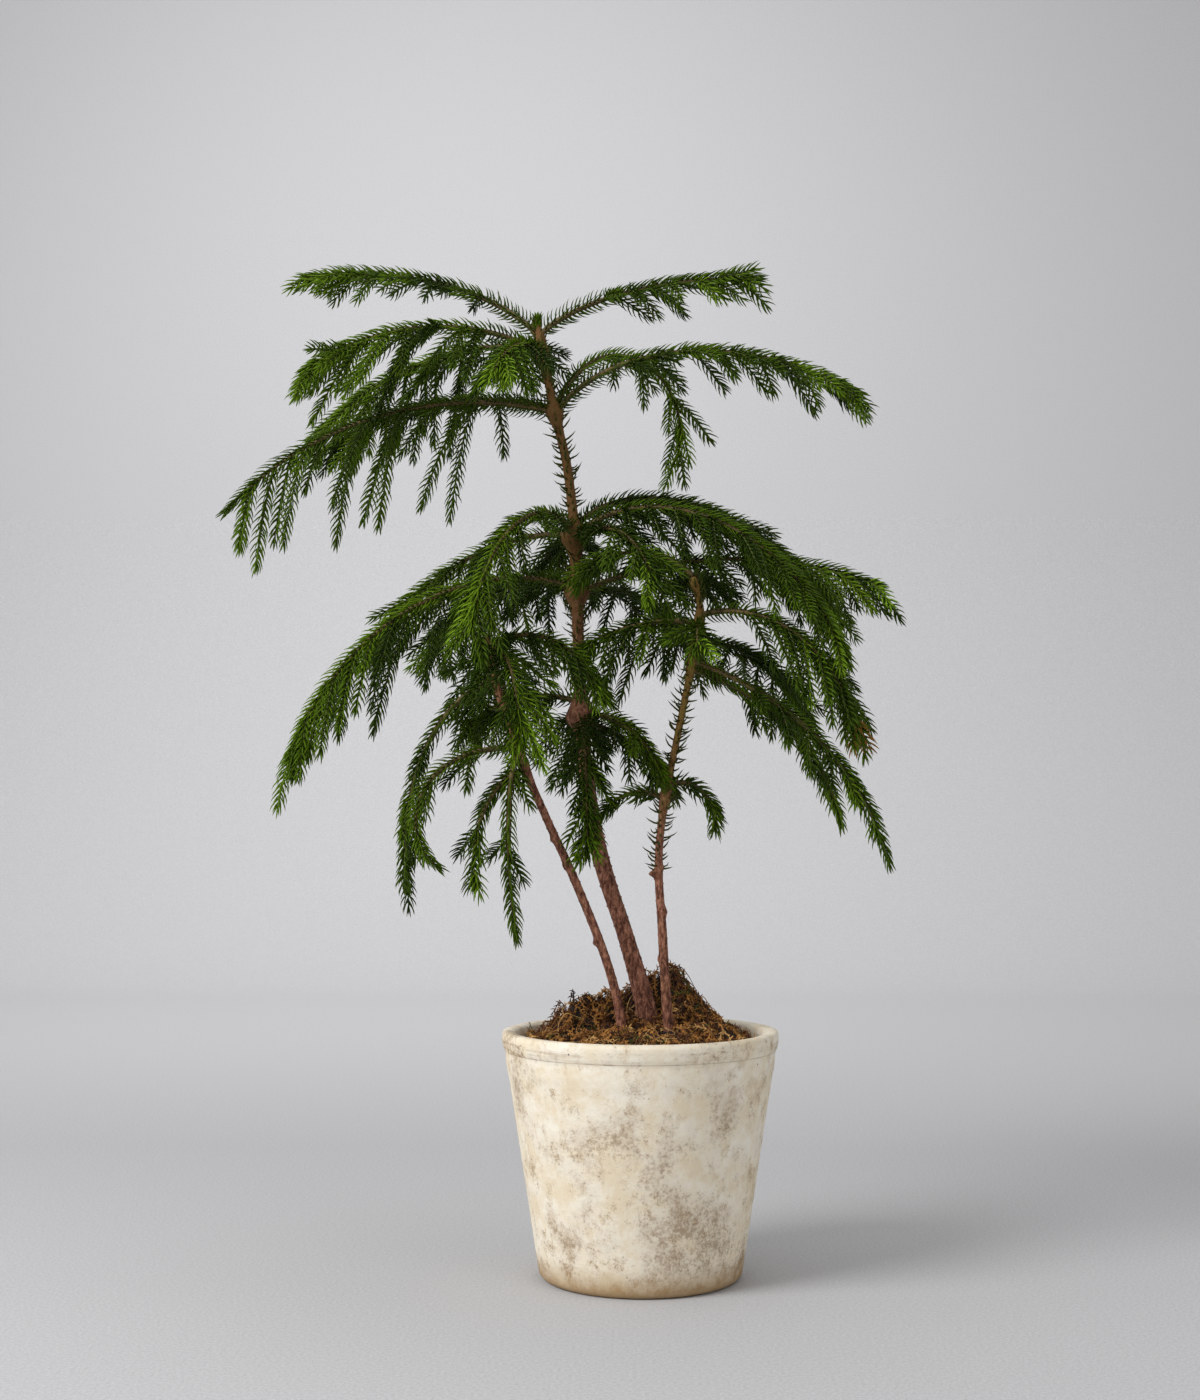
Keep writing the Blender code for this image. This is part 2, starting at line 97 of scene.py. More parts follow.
def unit(vectors):
    # each vector divided by its length
    return vectors / np.linalg.norm(vectors, axis=-1, keepdims=True)


def framesAlong(paths, hints):
    # tangent, and two directions square to it: the hint made square, and the cross product of both
    ahead = unit(np.gradient(paths, axis=-2))
    hints = np.broadcast_to(hints[..., None, :], paths.shape)
    side = unit(hints - ahead * np.sum(hints * ahead, axis=-1, keepdims=True))
    return ahead, side, np.cross(ahead, side)


def ringTurns(count):
    # the angles of a ring's corners, evenly round it
    return np.linspace(0, 2 * math.pi, count, endpoint=False)


def ringDirections(turn, side, up):
    # cos t side + sin t up, for every angle t
    return np.cos(turn)[:, None] * side[..., None, :] + np.sin(turn)[:, None] * up[..., None, :]


def tubes(paths, hints, radii, sides):
    # rings carried along many paths at once: point = path + radius (cos t side + sin t up), with two caps
    side, up = framesAlong(paths, hints)[1:]
    ring = ringDirections(ringTurns(sides), side, up)
    points = paths[..., None, :] + ring * radii[..., None, None]
    many, rows = paths.shape[:2]
    triangles = closedGrid(rows, sides)[None] + (np.arange(many) * rows * sides)[:, None, None]
    return points.reshape(-1, 3), triangles.reshape(-1, 3)


# Finishes

def finishNodes(name, roughness):
    # a new material, with what its nodes are made and joined with
    finish = bpy.data.materials.new(name)
    finish.use_nodes = True
    nodes = finish.node_tree.nodes
    surface = nodes["Principled BSDF"]
    surface.inputs["Roughness"].default_value = roughness
    place = nodes.new("ShaderNodeTexCoord")
    return finish, nodes, finish.node_tree.links, surface, place


def plainFinish(name, colour, roughness, specular):
    # one even colour all over
    finish, _, _, surface, _ = finishNodes(name, roughness)
    surface.inputs["Base Color"].default_value = (*colour, 1)
    surface.inputs["Specular IOR Level"].default_value = specular
    return finish


def feed(links, socket, value):
    # a link where the value is another node's socket, or else a plain number or colour
    if isinstance(value, bpy.types.NodeSocket):
        links.new(value, socket)
    else:
        socket.default_value = (*value, 1) if isinstance(value, tuple) else value

def noiseNode(nodes, links, place, scale, detail, stretch=(1, 1, 1), rough=0.55):
    # fractal noise on object coordinates, stretched by a mapping
    mapping = nodes.new("ShaderNodeMapping")
    mapping.inputs["Scale"].default_value = stretch
    links.new(place.outputs["Object"], mapping.inputs["Vector"])
    noise = nodes.new("ShaderNodeTexNoise")
    noise.inputs["Scale"].default_value = scale
    noise.inputs["Detail"].default_value = detail
    noise.inputs["Roughness"].default_value = rough
    links.new(mapping.outputs["Vector"], noise.inputs["Vector"])
    return noise.outputs["Fac"]


def rampNode(nodes, links, value, stops):
    # the colour goes evenly from stop to stop as the value rises
    ramp = nodes.new("ShaderNodeValToRGB")
    while len(ramp.color_ramp.elements) < len(stops):
        ramp.color_ramp.elements.new(0.5)
    for element, (spot, colour) in zip(ramp.color_ramp.elements, stops):
        element.position = spot
        element.color = (*colour, 1)
    links.new(value, ramp.inputs["Fac"])
    return ramp.outputs["Color"]


def mixNode(nodes, links, share, first, second, blend="MIX"):
    # a share of the second colour over the first; sockets 6, 7 and 2 are the node's colour sockets
    mix = nodes.new("ShaderNodeMix")
    mix.data_type = "RGBA"
    mix.blend_type = blend
    for socket, value in ((mix.inputs[0], share), (mix.inputs[6], first), (mix.inputs[7], second)):
        feed(links, socket, value)
    return mix.outputs[2]


def mathNode(nodes, links, kind, first, second):
    # the sum, difference or product of two values
    node = nodes.new("ShaderNodeMath")
    node.operation = kind
    for socket, value in zip(node.inputs, (first, second)):
        feed(links, socket, value)
    return node.outputs[0]


def bumpNode(nodes, links, surface, height, strength, distance):
    # the surface is lit as if the height stood out of it
    bump = nodes.new("ShaderNodeBump")
    bump.inputs["Strength"].default_value = strength
    bump.inputs["Distance"].default_value = distance
    links.new(height, bump.inputs["Height"])
    links.new(bump.outputs["Normal"], surface.inputs["Normal"])


def axisBand(nodes, links, place, axis, start, end):
    # grows evenly along the axis from 0 at the start to 1 at the end, and the end may be the lower one
    split = nodes.new("ShaderNodeSeparateXYZ")
    links.new(place.outputs["Object"], split.inputs["Vector"])
    band = nodes.new("ShaderNodeMapRange")
    band.inputs["From Min"].default_value = start
    band.inputs["From Max"].default_value = end
    links.new(split.outputs[axis], band.inputs["Value"])
    return band.outputs["Result"]


# Needles, and the barbs of the moss

needle = {
    "perMm": 1.35, "boughPerMm": 1.75, "length": (8.4, 10.2), "width": 1.06, "twigRadius": 0.4,
    "limbWidth": 1.05, "stemWidth": 1.25, "boughRadius": 1.0, "stemRadius": 2.4, "stemWild": 4.0,
    "shootOpen": (52.0, 12.0), "limbOpen": (74.0, 34.0), "stemOpen": (84.0, 42.0),
    "openDrift": (4.0, 5.0), "closing": (0.55, 0.70), "tipShare": 0.80, "tipLength": 0.66,
    "ranks": 5, "rollDrift": 8.0,
    "ringAt": (0.0, 0.36, 0.72, 1.0), "ringWidth": (0.95, 1.0, 0.62),
    "roughness": 0.5, "specular": 0.09, "mostInPiece": 12000,
    "fresherOut": 0.62, "fresher": {"top": 0.13, "upper": 0.06}, "tintDrift": 0.2, "tintSteps": 4.6,
    "dryBough": "right_upper_right", "dryFrom": 0.93,
    "tints": {
        "Deep": (0.023, 0.046, 0.001), "Dark": (0.042, 0.078, 0.002), "Mid": (0.066, 0.120, 0.003),
        "Light": (0.108, 0.188, 0.006), "Fresh": (0.165, 0.290, 0.012), "Dry": (0.30, 0.14, 0.03),
        "Old": (0.058, 0.066, 0.010),
    },
}


def needlesAlong(path, hint, perMm, lengths, opening, width, rng, tipped=True,
                 twigRadius=needle["twigRadius"], wild=1.0):
    # each needle stands two fifths of a turn on from the last, so they line up in five ranks; it leaves the
    # twig at the opening's first angle and bends to the second, and wild widens the chance in both
    run = np.concatenate([[0], np.cumsum(np.linalg.norm(np.diff(path, axis=0), axis=1))])
    count = max(4, int(run[-1] * perMm))
    spots = (np.arange(count) + rng.uniform(0.2, 0.8, count)) / count * run[-1]
    roots = np.column_stack([np.interp(spots, run, path[:, k]) for k in range(3)])
    ahead, side, up = (unit(np.column_stack([np.interp(spots, run, v[:, k]) for k in range(3)]))
                       for v in framesAlong(path, hint))
    turn = np.arange(count) * 4 * math.pi / needle["ranks"] + rng.uniform(0, 6.28)
    turn = turn + np.radians(rng.normal(0, needle["rollDrift"] * wild, count))
    out = np.cos(turn)[:, None] * side + np.sin(turn)[:, None] * up
    share = spots / run[-1]
    late = np.clip((share - needle["tipShare"]) / (1 - needle["tipShare"]), 0, 1) * (1.0 if tipped else 0.0)
    first, last = (np.radians(angle * (1 - close * late) + rng.normal(0, drift * wild, count))[:, None]
                   for angle, close, drift in zip(opening, needle["closing"], needle["openDrift"]))
    length = rng.uniform(*lengths, count) * (1 - (1 - needle["tipLength"]) * late)
    start = ahead * np.cos(first) + out * np.sin(first)
    end = ahead * np.cos(last) + out * np.sin(last)
    return roots + out * twigRadius * 0.5, start, end, length, np.full(count, width)


def needleMesh(roots, starts, ends, lengths, widths):
    # three-sided awls: the direction turns evenly from start to end, so a point at share s lies at
    # root + length (s start + s s / 2 (end - start)), and three rings narrow to a sharp tip
    count = len(roots)
    share = np.array(needle["ringAt"])[:, None]
    change = (ends - starts)[:, None]
    middle = roots[:, None] + lengths[:, None, None] * (share * starts[:, None] + share ** 2 / 2 * change)
    heading = unit(starts[:, None] + share * change)
    side = unit(np.cross(starts, ends) + 1e-6)[:, None]
    ring = ringDirections(np.radians((90, 210, 330)), side, np.cross(heading, side))
    radii = widths[:, None, None, None] / 2 * np.array(needle["ringWidth"])[None, :, None, None]
    rings = middle[:, :3, None] + ring[:, :3] * radii
    points = np.concatenate([rings.reshape(count, 9, 3), middle[:, 3:]], axis=1)
    one = np.vstack([gridTriangles(3, 3), [(6, 7, 9), (7, 8, 9), (8, 6, 9), (0, 2, 1)]])
    triangles = one[None] + (np.arange(count) * 10)[:, None, None]
    return points.reshape(-1, 3), triangles.reshape(-1, 3)


# The clay pot

pot = {
    "height": 132.0, "radius": 75.2, "footRadius": 54.4, "wall": 8.6, "floor": 10.0, "footRound": 5.0,
    "floorCorner": 4.0, "bandHeight": 10.5, "lipRound": 2.3, "innerDrop": 0.5, "axis": 0.02,
    "around": 220, "rows": 170,
    # up from the rim band's lower edge, and out from the plain cone: the band, a crease and a faint ring
    "bandSteps": ((3, 0.55), (0.8, 0.45), (0, -0.45), (-1.2, -0.27), (-4, 0), (-12, 0.25), (-13.5, -0.15)),
    "wobble": 0.25, "wobbleTurn": 0.6, "throwing": 0.05, "ringsPerMm": 0.9, "ringSlant": 0.8,
    "pitting": 0.10, "pitScale": 0.55,
    "plainRadius": 10.0, "fadeRadius": 30.0, "fade": 6.0, "rimRelief": 0.3,
    "roughness": 0.88, "bump": 0.5, "bumpDepth": 0.0010, "bumpCloud": 0.6, "bumpFine": 0.5,
    "cream": (0.84, 0.72, 0.53), "chalk": (0.96, 0.90, 0.78), "sand": (0.54, 0.40, 0.24),
    "dirtAndShade": (0.265, 0.155, 0.072), "stain": (0.37, 0.225, 0.09), "speck": (0.035, 0.022, 0.015),
    "rust": (0.36, 0.17, 0.08), "creamUpTo": 0.40, "chalkFrom": 0.58,
    # scale, detail, stretch and roughness of each noise
    "noises": {"wide": (22, 6, (1, 1, 1.1), 0.66), "cloud": (44, 9, (1, 1, 1), 0.68),
               "blot": (90, 9, (1, 1, 0.8), 0.74), "fine": (900, 5, (1, 1, 1), 0.75),
               "grit": (420, 9, (1, 1, 1), 0.8), "smear": (60, 5, (0.35, 0.35, 6.0), 0.6)},
    # heights at which each band starts and is full
    "bands": {"lower": (125, 10), "foot": (19, -2), "rimTop": (130.5, 127.5), "rimLow": (119.0, 121.5),
              "seamTop": (122.3, 121.7), "seamLow": (120.8, 121.4)},
    "lowerExtra": 0.08, "footEven": 0.2,
    # where each stain starts and where it is full, its strength and its colour
    "stains": {"blots": (0.50, 0.68, 0.62, "sand"), "washes": (0.24, 0.36, 0.55, "sand"),
               "grime": (0.268, 0.34, 0.60, "dirtAndShade"), "flecks": (0.285, 0.35, 0.66, "dirtAndShade"),
               "streaks": (0.385, 0.44, 0.7, "rust"), "foot": (0.10, 0.50, 0.85, "stain"),
               "rimStreak": (0.25, 0.33, 0.45, "stain"), "rimGrime": (0.26, 0.34, 0.6, "dirtAndShade"),
               # the crease line: dirt and painted shade under the proud rim band
               "creaseDirtAndShade": (0.30, 0.62, 0.6, "dirtAndShade")},
    "speckScale": 105, "speckDrift": 0.34, "speckEdge": (0.175, 0.205), "speckStrength": 0.95,
}


def innerRadius(height):
    # the outer cone's radius at that height, less the wall
    return pot["footRadius"] - pot["wall"] + (pot["radius"] - pot["footRadius"]) / pot["height"] * height


def outerRadius(height):
    # the inner radius and the wall
    return innerRadius(height) + pot["wall"]


def arc(x, z, radius, start, end, count):
    # points round the centre (x, z), at even angles
    angles = np.radians(np.linspace(start, end, count))
    return np.column_stack([x + radius * np.cos(angles), z + radius * np.sin(angles)])


def evenly(points, count):
    # the same line with its points at even steps of length
    steps = np.linalg.norm(np.diff(points, axis=0), axis=1)
    run = np.concatenate([[0], np.cumsum(steps)])
    spots = np.linspace(0, run[-1], count)
    return np.column_stack([np.interp(spots, run, points[:, k]) for k in range(points.shape[1])])


def potProfile():
    # from the middle of the inside floor, up the inner wall, over the rim and down to the underside
    lip, foot, corner = pot["lipRound"], pot["footRound"], pot["floorCorner"]
    floor, top = pot["floor"], pot["height"]
    band = top - pot["bandHeight"]
    pieces = [
        [(pot["axis"], floor), (innerRadius(floor) - corner, floor)],
        [(innerRadius(floor + corner), floor + corner)],
        arc(pot["radius"] - pot["wall"] + lip, top - lip - pot["innerDrop"], lip, 180, 96, 10),
        arc(pot["radius"] - lip, top - lip, lip, 88, 4, 12),
        [(outerRadius(band + up) + out, band + up) for up, out in pot["bandSteps"]],
        arc(outerRadius(foot) - foot, foot, foot, 0, -90, 12),
        [(pot["axis"], 0)],
    ]
    return evenly(np.vstack(pieces), pot["rows"])


def ripple(x, y, z, scale, seed, waves=22, octaves=2.6):
    # soft noise: many sine waves in random directions, shorter ones weaker
    rng = np.random.default_rng(seed)
    total = np.zeros(np.broadcast(x, y, z).shape)
    for _ in range(waves):
        kx, ky, kz = unit(rng.normal(size=3)) * scale * 2 ** rng.uniform(0, octaves)
        weaker = scale / math.sqrt(kx * kx + ky * ky + kz * kz)
        total += np.sin(kx * x + ky * y + kz * z + rng.uniform(0, 6.28)) * weaker
    return total / math.sqrt(waves)


def stainLayer(nodes, links, base, mask, low, high, strength, colour):
    # the colour goes on where the mask lies above the low value, at its full strength from the high one
    share = rampNode(nodes, links, mask, [(low, (0, 0, 0)), (high, (strength,) * 3)])
    return mixNode(nodes, links, share, base, colour)


def weatheredClay():
    # a cloudy base under stains and a dark line of dirt and painted shade in the crease under the rim band,
    # each of which lies where the product of its noises and bands is high
    finish, nodes, links, surface, place = finishNodes("weathered clay", pot["roughness"])
    wide, cloud, blot, fine, grit, smear = (noiseNode(nodes, links, place, *noise)
                                            for noise in pot["noises"].values())
    lower, foot, rimTop, rimLow, seamTop, seamLow = (
        axisBand(nodes, links, place, "Z", start * mm, end * mm) for start, end in pot["bands"].values())
    plus = lambda first, second: mathNode(nodes, links, "ADD", first, second)
    times = lambda first, second: mathNode(nodes, links, "MULTIPLY", first, second)
    lower = plus(1 - pot["lowerExtra"], times(lower, pot["lowerExtra"]))
    rim = times(rimTop, rimLow)
    masks = {
        "blots": blot,
        "washes": times(wide, cloud),
        "grime": times(lower, times(wide, grit)),
        "flecks": times(lower, times(blot, fine)),
        "streaks": times(smear, grit),
        "foot": times(foot, plus(blot, pot["footEven"])),
        "rimStreak": times(rim, times(smear, cloud)),
        "rimGrime": times(rim, times(wide, grit)),
        # dirt colour in a thin line along the crease under the rim band: dirt in the crease, and painted
        # shade under the band's proud edge
        "creaseDirtAndShade": times(times(seamTop, seamLow), cloud),
    }
    stops = [(pot["creamUpTo"], pot["cream"]), (pot["chalkFrom"], pot["chalk"])]
    base = rampNode(nodes, links, cloud, stops)
    for name, mask in masks.items():
        low, high, strength, colour = pot["stains"][name]
        base = stainLayer(nodes, links, base, mask, low, high, strength, pot[colour])
    cells = nodes.new("ShaderNodeTexVoronoi")
    cells.inputs["Scale"].default_value = pot["speckScale"]
    links.new(place.outputs["Object"], cells.inputs["Vector"])
    spots = plus(cells.outputs["Distance"], times(wide, pot["speckDrift"]))
    full, none = pot["speckEdge"]
    dots = rampNode(nodes, links, spots, [(full, (pot["speckStrength"],) * 3), (none, (0, 0, 0))])
    base = mixNode(nodes, links, dots, base, pot["speck"])
    links.new(base, surface.inputs["Base Color"])
    height = plus(grit, plus(times(cloud, pot["bumpCloud"]), times(fine, pot["bumpFine"])))
    bumpNode(nodes, links, surface, height, pot["bump"], pot["bumpDepth"])
    return finish


def makePot():
    # the profile turned once round the axis, with a little wobble, throwing rings and pits, which fade
    # towards the axis and the foot and are weaker at the rim
    profile = potProfile()
    turn = ringTurns(pot["around"])
    radius, height = profile[:, :1], profile[:, 1:] + 0 * turn
    x, y = radius * np.cos(turn), radius * np.sin(turn)
    weight = np.clip((radius - pot["plainRadius"]) / pot["fadeRadius"], 0, 1)
    weight = weight * np.clip(height / pot["fade"], 0, 1)
    weight = weight * np.clip((pot["height"] - height) / pot["fade"], pot["rimRelief"], 1)
    relief = pot["wobble"] * np.sin(2 * turn + pot["wobbleTurn"]) * height / pot["height"]
    rings = np.sin(height * pot["ringsPerMm"] + pot["ringSlant"] * np.sin(turn))
    pits = ripple(x, y, height, pot["pitScale"], 5)
    relief = relief + pot["throwing"] * rings + pot["pitting"] * pits
    stretch = 1 + weight * relief / np.maximum(radius, pot["plainRadius"])
    points = np.stack([x * stretch, y * stretch, height + 0 * x], axis=-1).reshape(-1, 3)
    triangles = closedGrid(pot["rows"], pot["around"])[:, ::-1]
    piece = putMesh("clayPot", points * mm, triangles, weatheredClay())
    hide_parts("pot")


makePot()
print("pot made")


# Moss and soil

moss = {
    "edge": 123.0, "dome": 9.0, "around": 180, "rings": 70,
    "rough": 1.6, "crumbScale": 0.55, "crumbWaves": 40, "crumbFade": (4.0, 0.15), "swell": 0.9,
    "gap": 0.7, "lowGap": 0.9, "sink": 1.6, "overFloor": 0.5, "sideHeight": 60.0, "innerRing": 20.0,
    "axis": 0.05, "innermost": 0.02,
    # x, y, height and spread of each tuft
    "peaks": ((20, 16, 26, 10), (2, 21, 18, 12), (-21, 14, 13, 12), (-38, 5, 12, 9), (41, 5, 9, 9),
              (8, -38, 2.5, 13)),
    "fronds": {"brown": 280, "ochre": 270, "dark": 90, "green": 45, "straw": 75},
    # near-black soil: the damp soil's own dark colour, and painted shade in the gaps between the threads and
    # in the hollow
    "soil": (0.012, 0.0045, 0.0015),
    "colours": {"brown": (0.135, 0.045, 0.009), "ochre": (0.44, 0.195, 0.042), "dark": (0.040, 0.013, 0.004),
                "green": (0.095, 0.085, 0.010), "straw": (0.72, 0.42, 0.15)},
    "roughness": 0.9, "darker": 0.45, "lighter": 1.35, "shadeStops": (0.35, 0.5, 0.68),
    "patchNoise": (260, 6), "grainNoise": (1500, 4), "bump": 0.5, "bumpDepth": 0.0006,
    "length": (10, 30), "thickness": (0.5, 1.15), "rise": (0.8, 9.0), "points": 16, "sides": 4,
    "curl": 5.5, "wiggle": 1.2, "wiggles": 9.0, "bury": 0.9, "bob": 0.5, "bobs": 14.0, "inset": 3.0,
    "barbsPerMm": 1.1, "barbLength": (1.5, 3.0), "barbWidth": 0.7, "barbOpen": (64.0, 30.0),
    # x, y and radius of the hollow in front, where few threads start and the near-black soil shows as
    # painted shade, and how far into it the threads still start
    "hollow": (7, -26, 25), "hollowShare": 0.35, "wires": 3, "wireRise": 1.3, "wireWidth": 0.6,
}
mossUp = np.array((0.02, 0.03, 1.0))


def mossHeight(x, y):
    # a low dome with tufts, each a bell curve, and small swells
    height = moss["edge"] + moss["dome"] * (1 - (x ** 2 + y ** 2) / innerRadius(moss["edge"]) ** 2)
    for peakX, peakY, tall, spread in moss["peaks"]:
        height = height + tall * np.exp(-((x - peakX) ** 2 + (y - peakY) ** 2) / (2 * spread ** 2))
    return height + moss["swell"] * np.sin(0.31 * x) * np.cos(0.27 * y)


def mossFinish(name, colour):
    # patches of the colour, a darker one and a lighter one, with a fine grain
    finish, nodes, links, surface, place = finishNodes(name, moss["roughness"])
    patch = noiseNode(nodes, links, place, *moss["patchNoise"])
    darker = tuple(moss["darker"] * c for c in colour)
    lighter = tuple(min(1, moss["lighter"] * c) for c in colour)
    shades = rampNode(nodes, links, patch, list(zip(moss["shadeStops"], (darker, colour, lighter))))
    links.new(shades, surface.inputs["Base Color"])
    grain = noiseNode(nodes, links, place, *moss["grainNoise"])
    bumpNode(nodes, links, surface, grain, moss["bump"], moss["bumpDepth"])
    return finish


def makeMossMound():
    # a polar grid: the top follows the moss height with crumbly noise, then the side and floor of the plug
    turn = ringTurns(moss["around"])
    edge = innerRadius(moss["edge"]) - moss["gap"]
    shares = np.linspace(moss["innermost"], 1, moss["rings"])
    reach = np.concatenate([[moss["axis"]], edge * shares])[:, None]
    x, y = reach * np.cos(turn), reach * np.sin(turn)
    fade, least = moss["crumbFade"]
    crumbs = moss["rough"] * ripple(x, y, 0 * x, moss["crumbScale"], 8, moss["crumbWaves"])
    crumbs = crumbs * np.clip((edge - reach) / fade, least, 1)
    top = np.stack([x, y, mossHeight(x, y) + crumbs - moss["sink"]], axis=-1)
    side = moss["sideHeight"]
    low = pot["floor"] + moss["overFloor"]
    corner = low + pot["floorCorner"]
    below = [np.stack([radius * np.cos(turn), radius * np.sin(turn), height + 0 * turn], axis=-1)
             for height, radius in ((side, innerRadius(side) - moss["gap"]),
                                    (corner, innerRadius(corner) - moss["lowGap"]),
                                    (low, moss["innerRing"]), (low, moss["axis"]))]
    rows = np.concatenate([top, np.array(below)])
    triangles = closedGrid(len(rows), moss["around"])[:, ::-1]
    # the soil's near-black colour is partly its own, partly painted shade between the threads and in the
    # hollow in front
    finish = mossFinish("damp soil and painted shade under the moss", moss["soil"])
    piece = putMesh("mossMound", rows.reshape(-1, 3) * mm, triangles, finish)
    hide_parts("moss_and_soil")


def mossFronds(count, rng):
    # curled threads that wander over the mound: the heading turns steadily, and the height is an arch
    # that starts and ends in the moss; few start in the hollow, and every third is a thin, high wire
    edge = innerRadius(moss["edge"]) - moss["inset"]
    reach = edge * np.sqrt(rng.uniform(0, 1, count))
    turn = rng.uniform(0, 2 * math.pi, count)
    start = np.stack([reach * np.cos(turn), reach * np.sin(turn)], axis=-1)
    middle = np.array(moss["hollow"][:2])
    wide = moss["hollow"][2]
    away = np.linalg.norm(start - middle, axis=1, keepdims=True)
    kept = moss["hollowShare"]
    moved = middle + (start - middle) * (kept + (1 - kept) * wide / away)
    start = np.where(away < wide, moved, start)
    share = np.linspace(0, 1, moss["points"])
    length = rng.uniform(*moss["length"], count)[:, None]
    heading = rng.uniform(0, 2 * math.pi, count)[:, None]
    curl = rng.normal(0, 1, count)[:, None] * moss["curl"]
    wiggle = rng.uniform(-1, 1, count)[:, None] * moss["wiggle"]
    angle = heading + curl * share + wiggle * np.sin(share * moss["wiggles"])
    step = length / (moss["points"] - 1)
    x = start[:, :1] + np.cumsum(np.cos(angle), axis=1) * step
    y = start[:, 1:] + np.cumsum(np.sin(angle), axis=1) * step
    pull = np.minimum(1, edge / np.maximum(np.hypot(x, y), 1e-6))
    x, y = x * pull, y * pull
    rise = rng.uniform(*moss["rise"], count)[:, None] * rng.uniform(0.2, 1, count)[:, None]
    rise[::moss["wires"]] *= moss["wireRise"]
    lift = rise * np.sin(math.pi * np.clip(share * 1.05, 0, 1)) - moss["bury"]
    lift = lift + moss["bob"] * np.sin(share * moss["bobs"] + heading)
    paths = np.stack([x, y, mossHeight(x, y) + lift], axis=-1)
    taper = (1 - 0.55 * share) * (0.6 + 0.4 * np.sin(share * 3 + 0.4))
    radii = rng.uniform(*moss["thickness"], count)[:, None] / 2 * taper
    radii[::moss["wires"]] *= moss["wireWidth"]
    return paths, radii


def makeFronds(number, tint, count):
    # threads of one colour, and barbs on all of them but the wires
    rng = np.random.default_rng(60 + number)
    paths, radii = mossFronds(count, rng)
    points, triangles = tubes(paths, np.tile(mossUp, (count, 1)), radii, moss["sides"])
    barbs = [needlesAlong(path, mossUp, moss["barbsPerMm"], moss["barbLength"], moss["barbOpen"],
                          moss["barbWidth"], rng) for k, path in enumerate(paths) if k % moss["wires"]]
    barbPoints, barbTriangles = needleMesh(*(np.concatenate([b[k] for b in barbs]) for k in range(5)))
    putMesh("moss" + tint.capitalize(), np.vstack([points, barbPoints]) * mm,
            np.vstack([triangles, barbTriangles + len(points)]),
            mossFinish(tint + " moss", moss["colours"][tint]))


makeMossMound()
for number, (tint, count) in enumerate(moss["fronds"].items()):
    makeFronds(number, tint, count)
print("moss made")


# Stems

stems = {
    # x, y, z and radius, from the soil to the tip
    "main": ((8, 0, 118, 12.6), (1, 0, 152, 10.4), (-8.5, 1, 184, 8.8), (-23, 3, 231, 8.8),
             (-31, 5, 286, 7.2), (-34, 6, 345, 6.4), (-36, 5, 400, 5.8), (-40, 3, 440, 5.0),
             (-47, 2, 471, 4.6), (-53, 1, 500, 4.0), (-57, 0, 523, 2.6)),
    "left": ((-8, -16, 118, 5.8), (-12, -17, 148, 4.9), (-20, -20, 176, 4.7), (-35, -26, 214, 4.5),
             (-49, -32, 245, 4.3), (-62, -38, 275, 4.1), (-70, -42, 298, 3.9), (-77, -46, 322, 3.4),
             (-81, -48, 342, 2.4)),
    "right": ((17, -10, 118, 6.0), (14, -12, 150, 5.2), (12, -15, 185, 4.8), (10, -19, 222, 4.3),
              (13, -24, 255, 3.9), (20, -30, 290, 3.6), (27, -35, 325, 3.4), (32, -38, 356, 3.2),
              (28, -39, 375, 2.6)),
}
bark = {
    "rowStep": 0.8, "around": {"main": 60, "left": 40, "right": 40}, "tipRound": 2.0, "tipBlunt": 0.9,
    "furrow": 0.05, "streaks": 16, "ridges": (3, 14), "twist": (4, 16),
    "scars": 0.16, "scarSpirals": ((5, 1.7), (3, -1.1)), "nodeSwell": 0.40, "nodeSpread": 5.5,
    "needlesFrom": {"main": 292, "left": 280, "right": 218}, "youngOver": 90,
    "needlesPerMm": {"main": 1.5, "left": 1.1, "right": 1.2}, "needleLength": (6.0, 10.5),
    "old": (0.140, 0.043, 0.022), "ridge": (0.57, 0.26, 0.16), "rust": (0.17, 0.058, 0.012),
    "young": {"main": (0.125, 0.088, 0.013), "left": (0.18, 0.13, 0.02), "right": (0.27, 0.21, 0.03)},
    "crack": 0.25, "oldStops": (0.38, 0.46, 0.64), "youngStops": (0.36, 0.66), "patchiness": 0.9,
    "streakNoise": (560, 10, (1, 1, 0.4), 0.78), "patchNoise": (90, 5, (1, 1, 0.5)),
    "roughness": 0.85, "bump": 0.8, "bumpDepth": 0.0010,
    # stem, height, heading and how far the knot stands out
    "knots": (("main", 152, 270, 1.0), ("main", 190, 250, 1.2), ("main", 214, 285, 1.5),
              ("main", 238, 180, 1.3), ("left", 181, 190, 1.4), ("left", 222, 200, 1.0),
              ("left", 236, 170, 0.9), ("right", 171, 185, 1.0), ("right", 198, 300, 1.3),
              ("right", 196, 5, 1.2), ("right", 217, 184, 3.4), ("right", 220, 8, 0.8)),
    "knotSpread": 1.8,
}
stemHint = np.array((1.0, 0.1, 0.0))


def smoothCurve(rows, count):
    # Catmull-Rom: a cubic through every row, whose slope at a row is half the step between its neighbours
    rows = np.asarray(rows, float)
    ends = np.vstack([2 * rows[0] - rows[1], rows, 2 * rows[-1] - rows[-2]])
    place = np.linspace(0, len(rows) - 1, count)
    index = np.minimum(place.astype(int), len(rows) - 2)
    t = (place - index)[:, None]
    a, b, c, d = (ends[index + k] for k in range(4))
    squared, cubed = (2 * a - 5 * b + 4 * c - d) * t ** 2, (3 * b - 3 * c + d - a) * t ** 3
    return 0.5 * (2 * b + (c - a) * t + squared + cubed)


stemLines = {name: smoothCurve(rows, 481) * (1, 1, 1, 0.5) for name, rows in stems.items()}


def stemAt(name, height):
    # x, y, z and radius of the stem at that height
    line = stemLines[name]
    return np.array([np.interp(height, line[:, 2], line[:, k]) for k in range(4)])


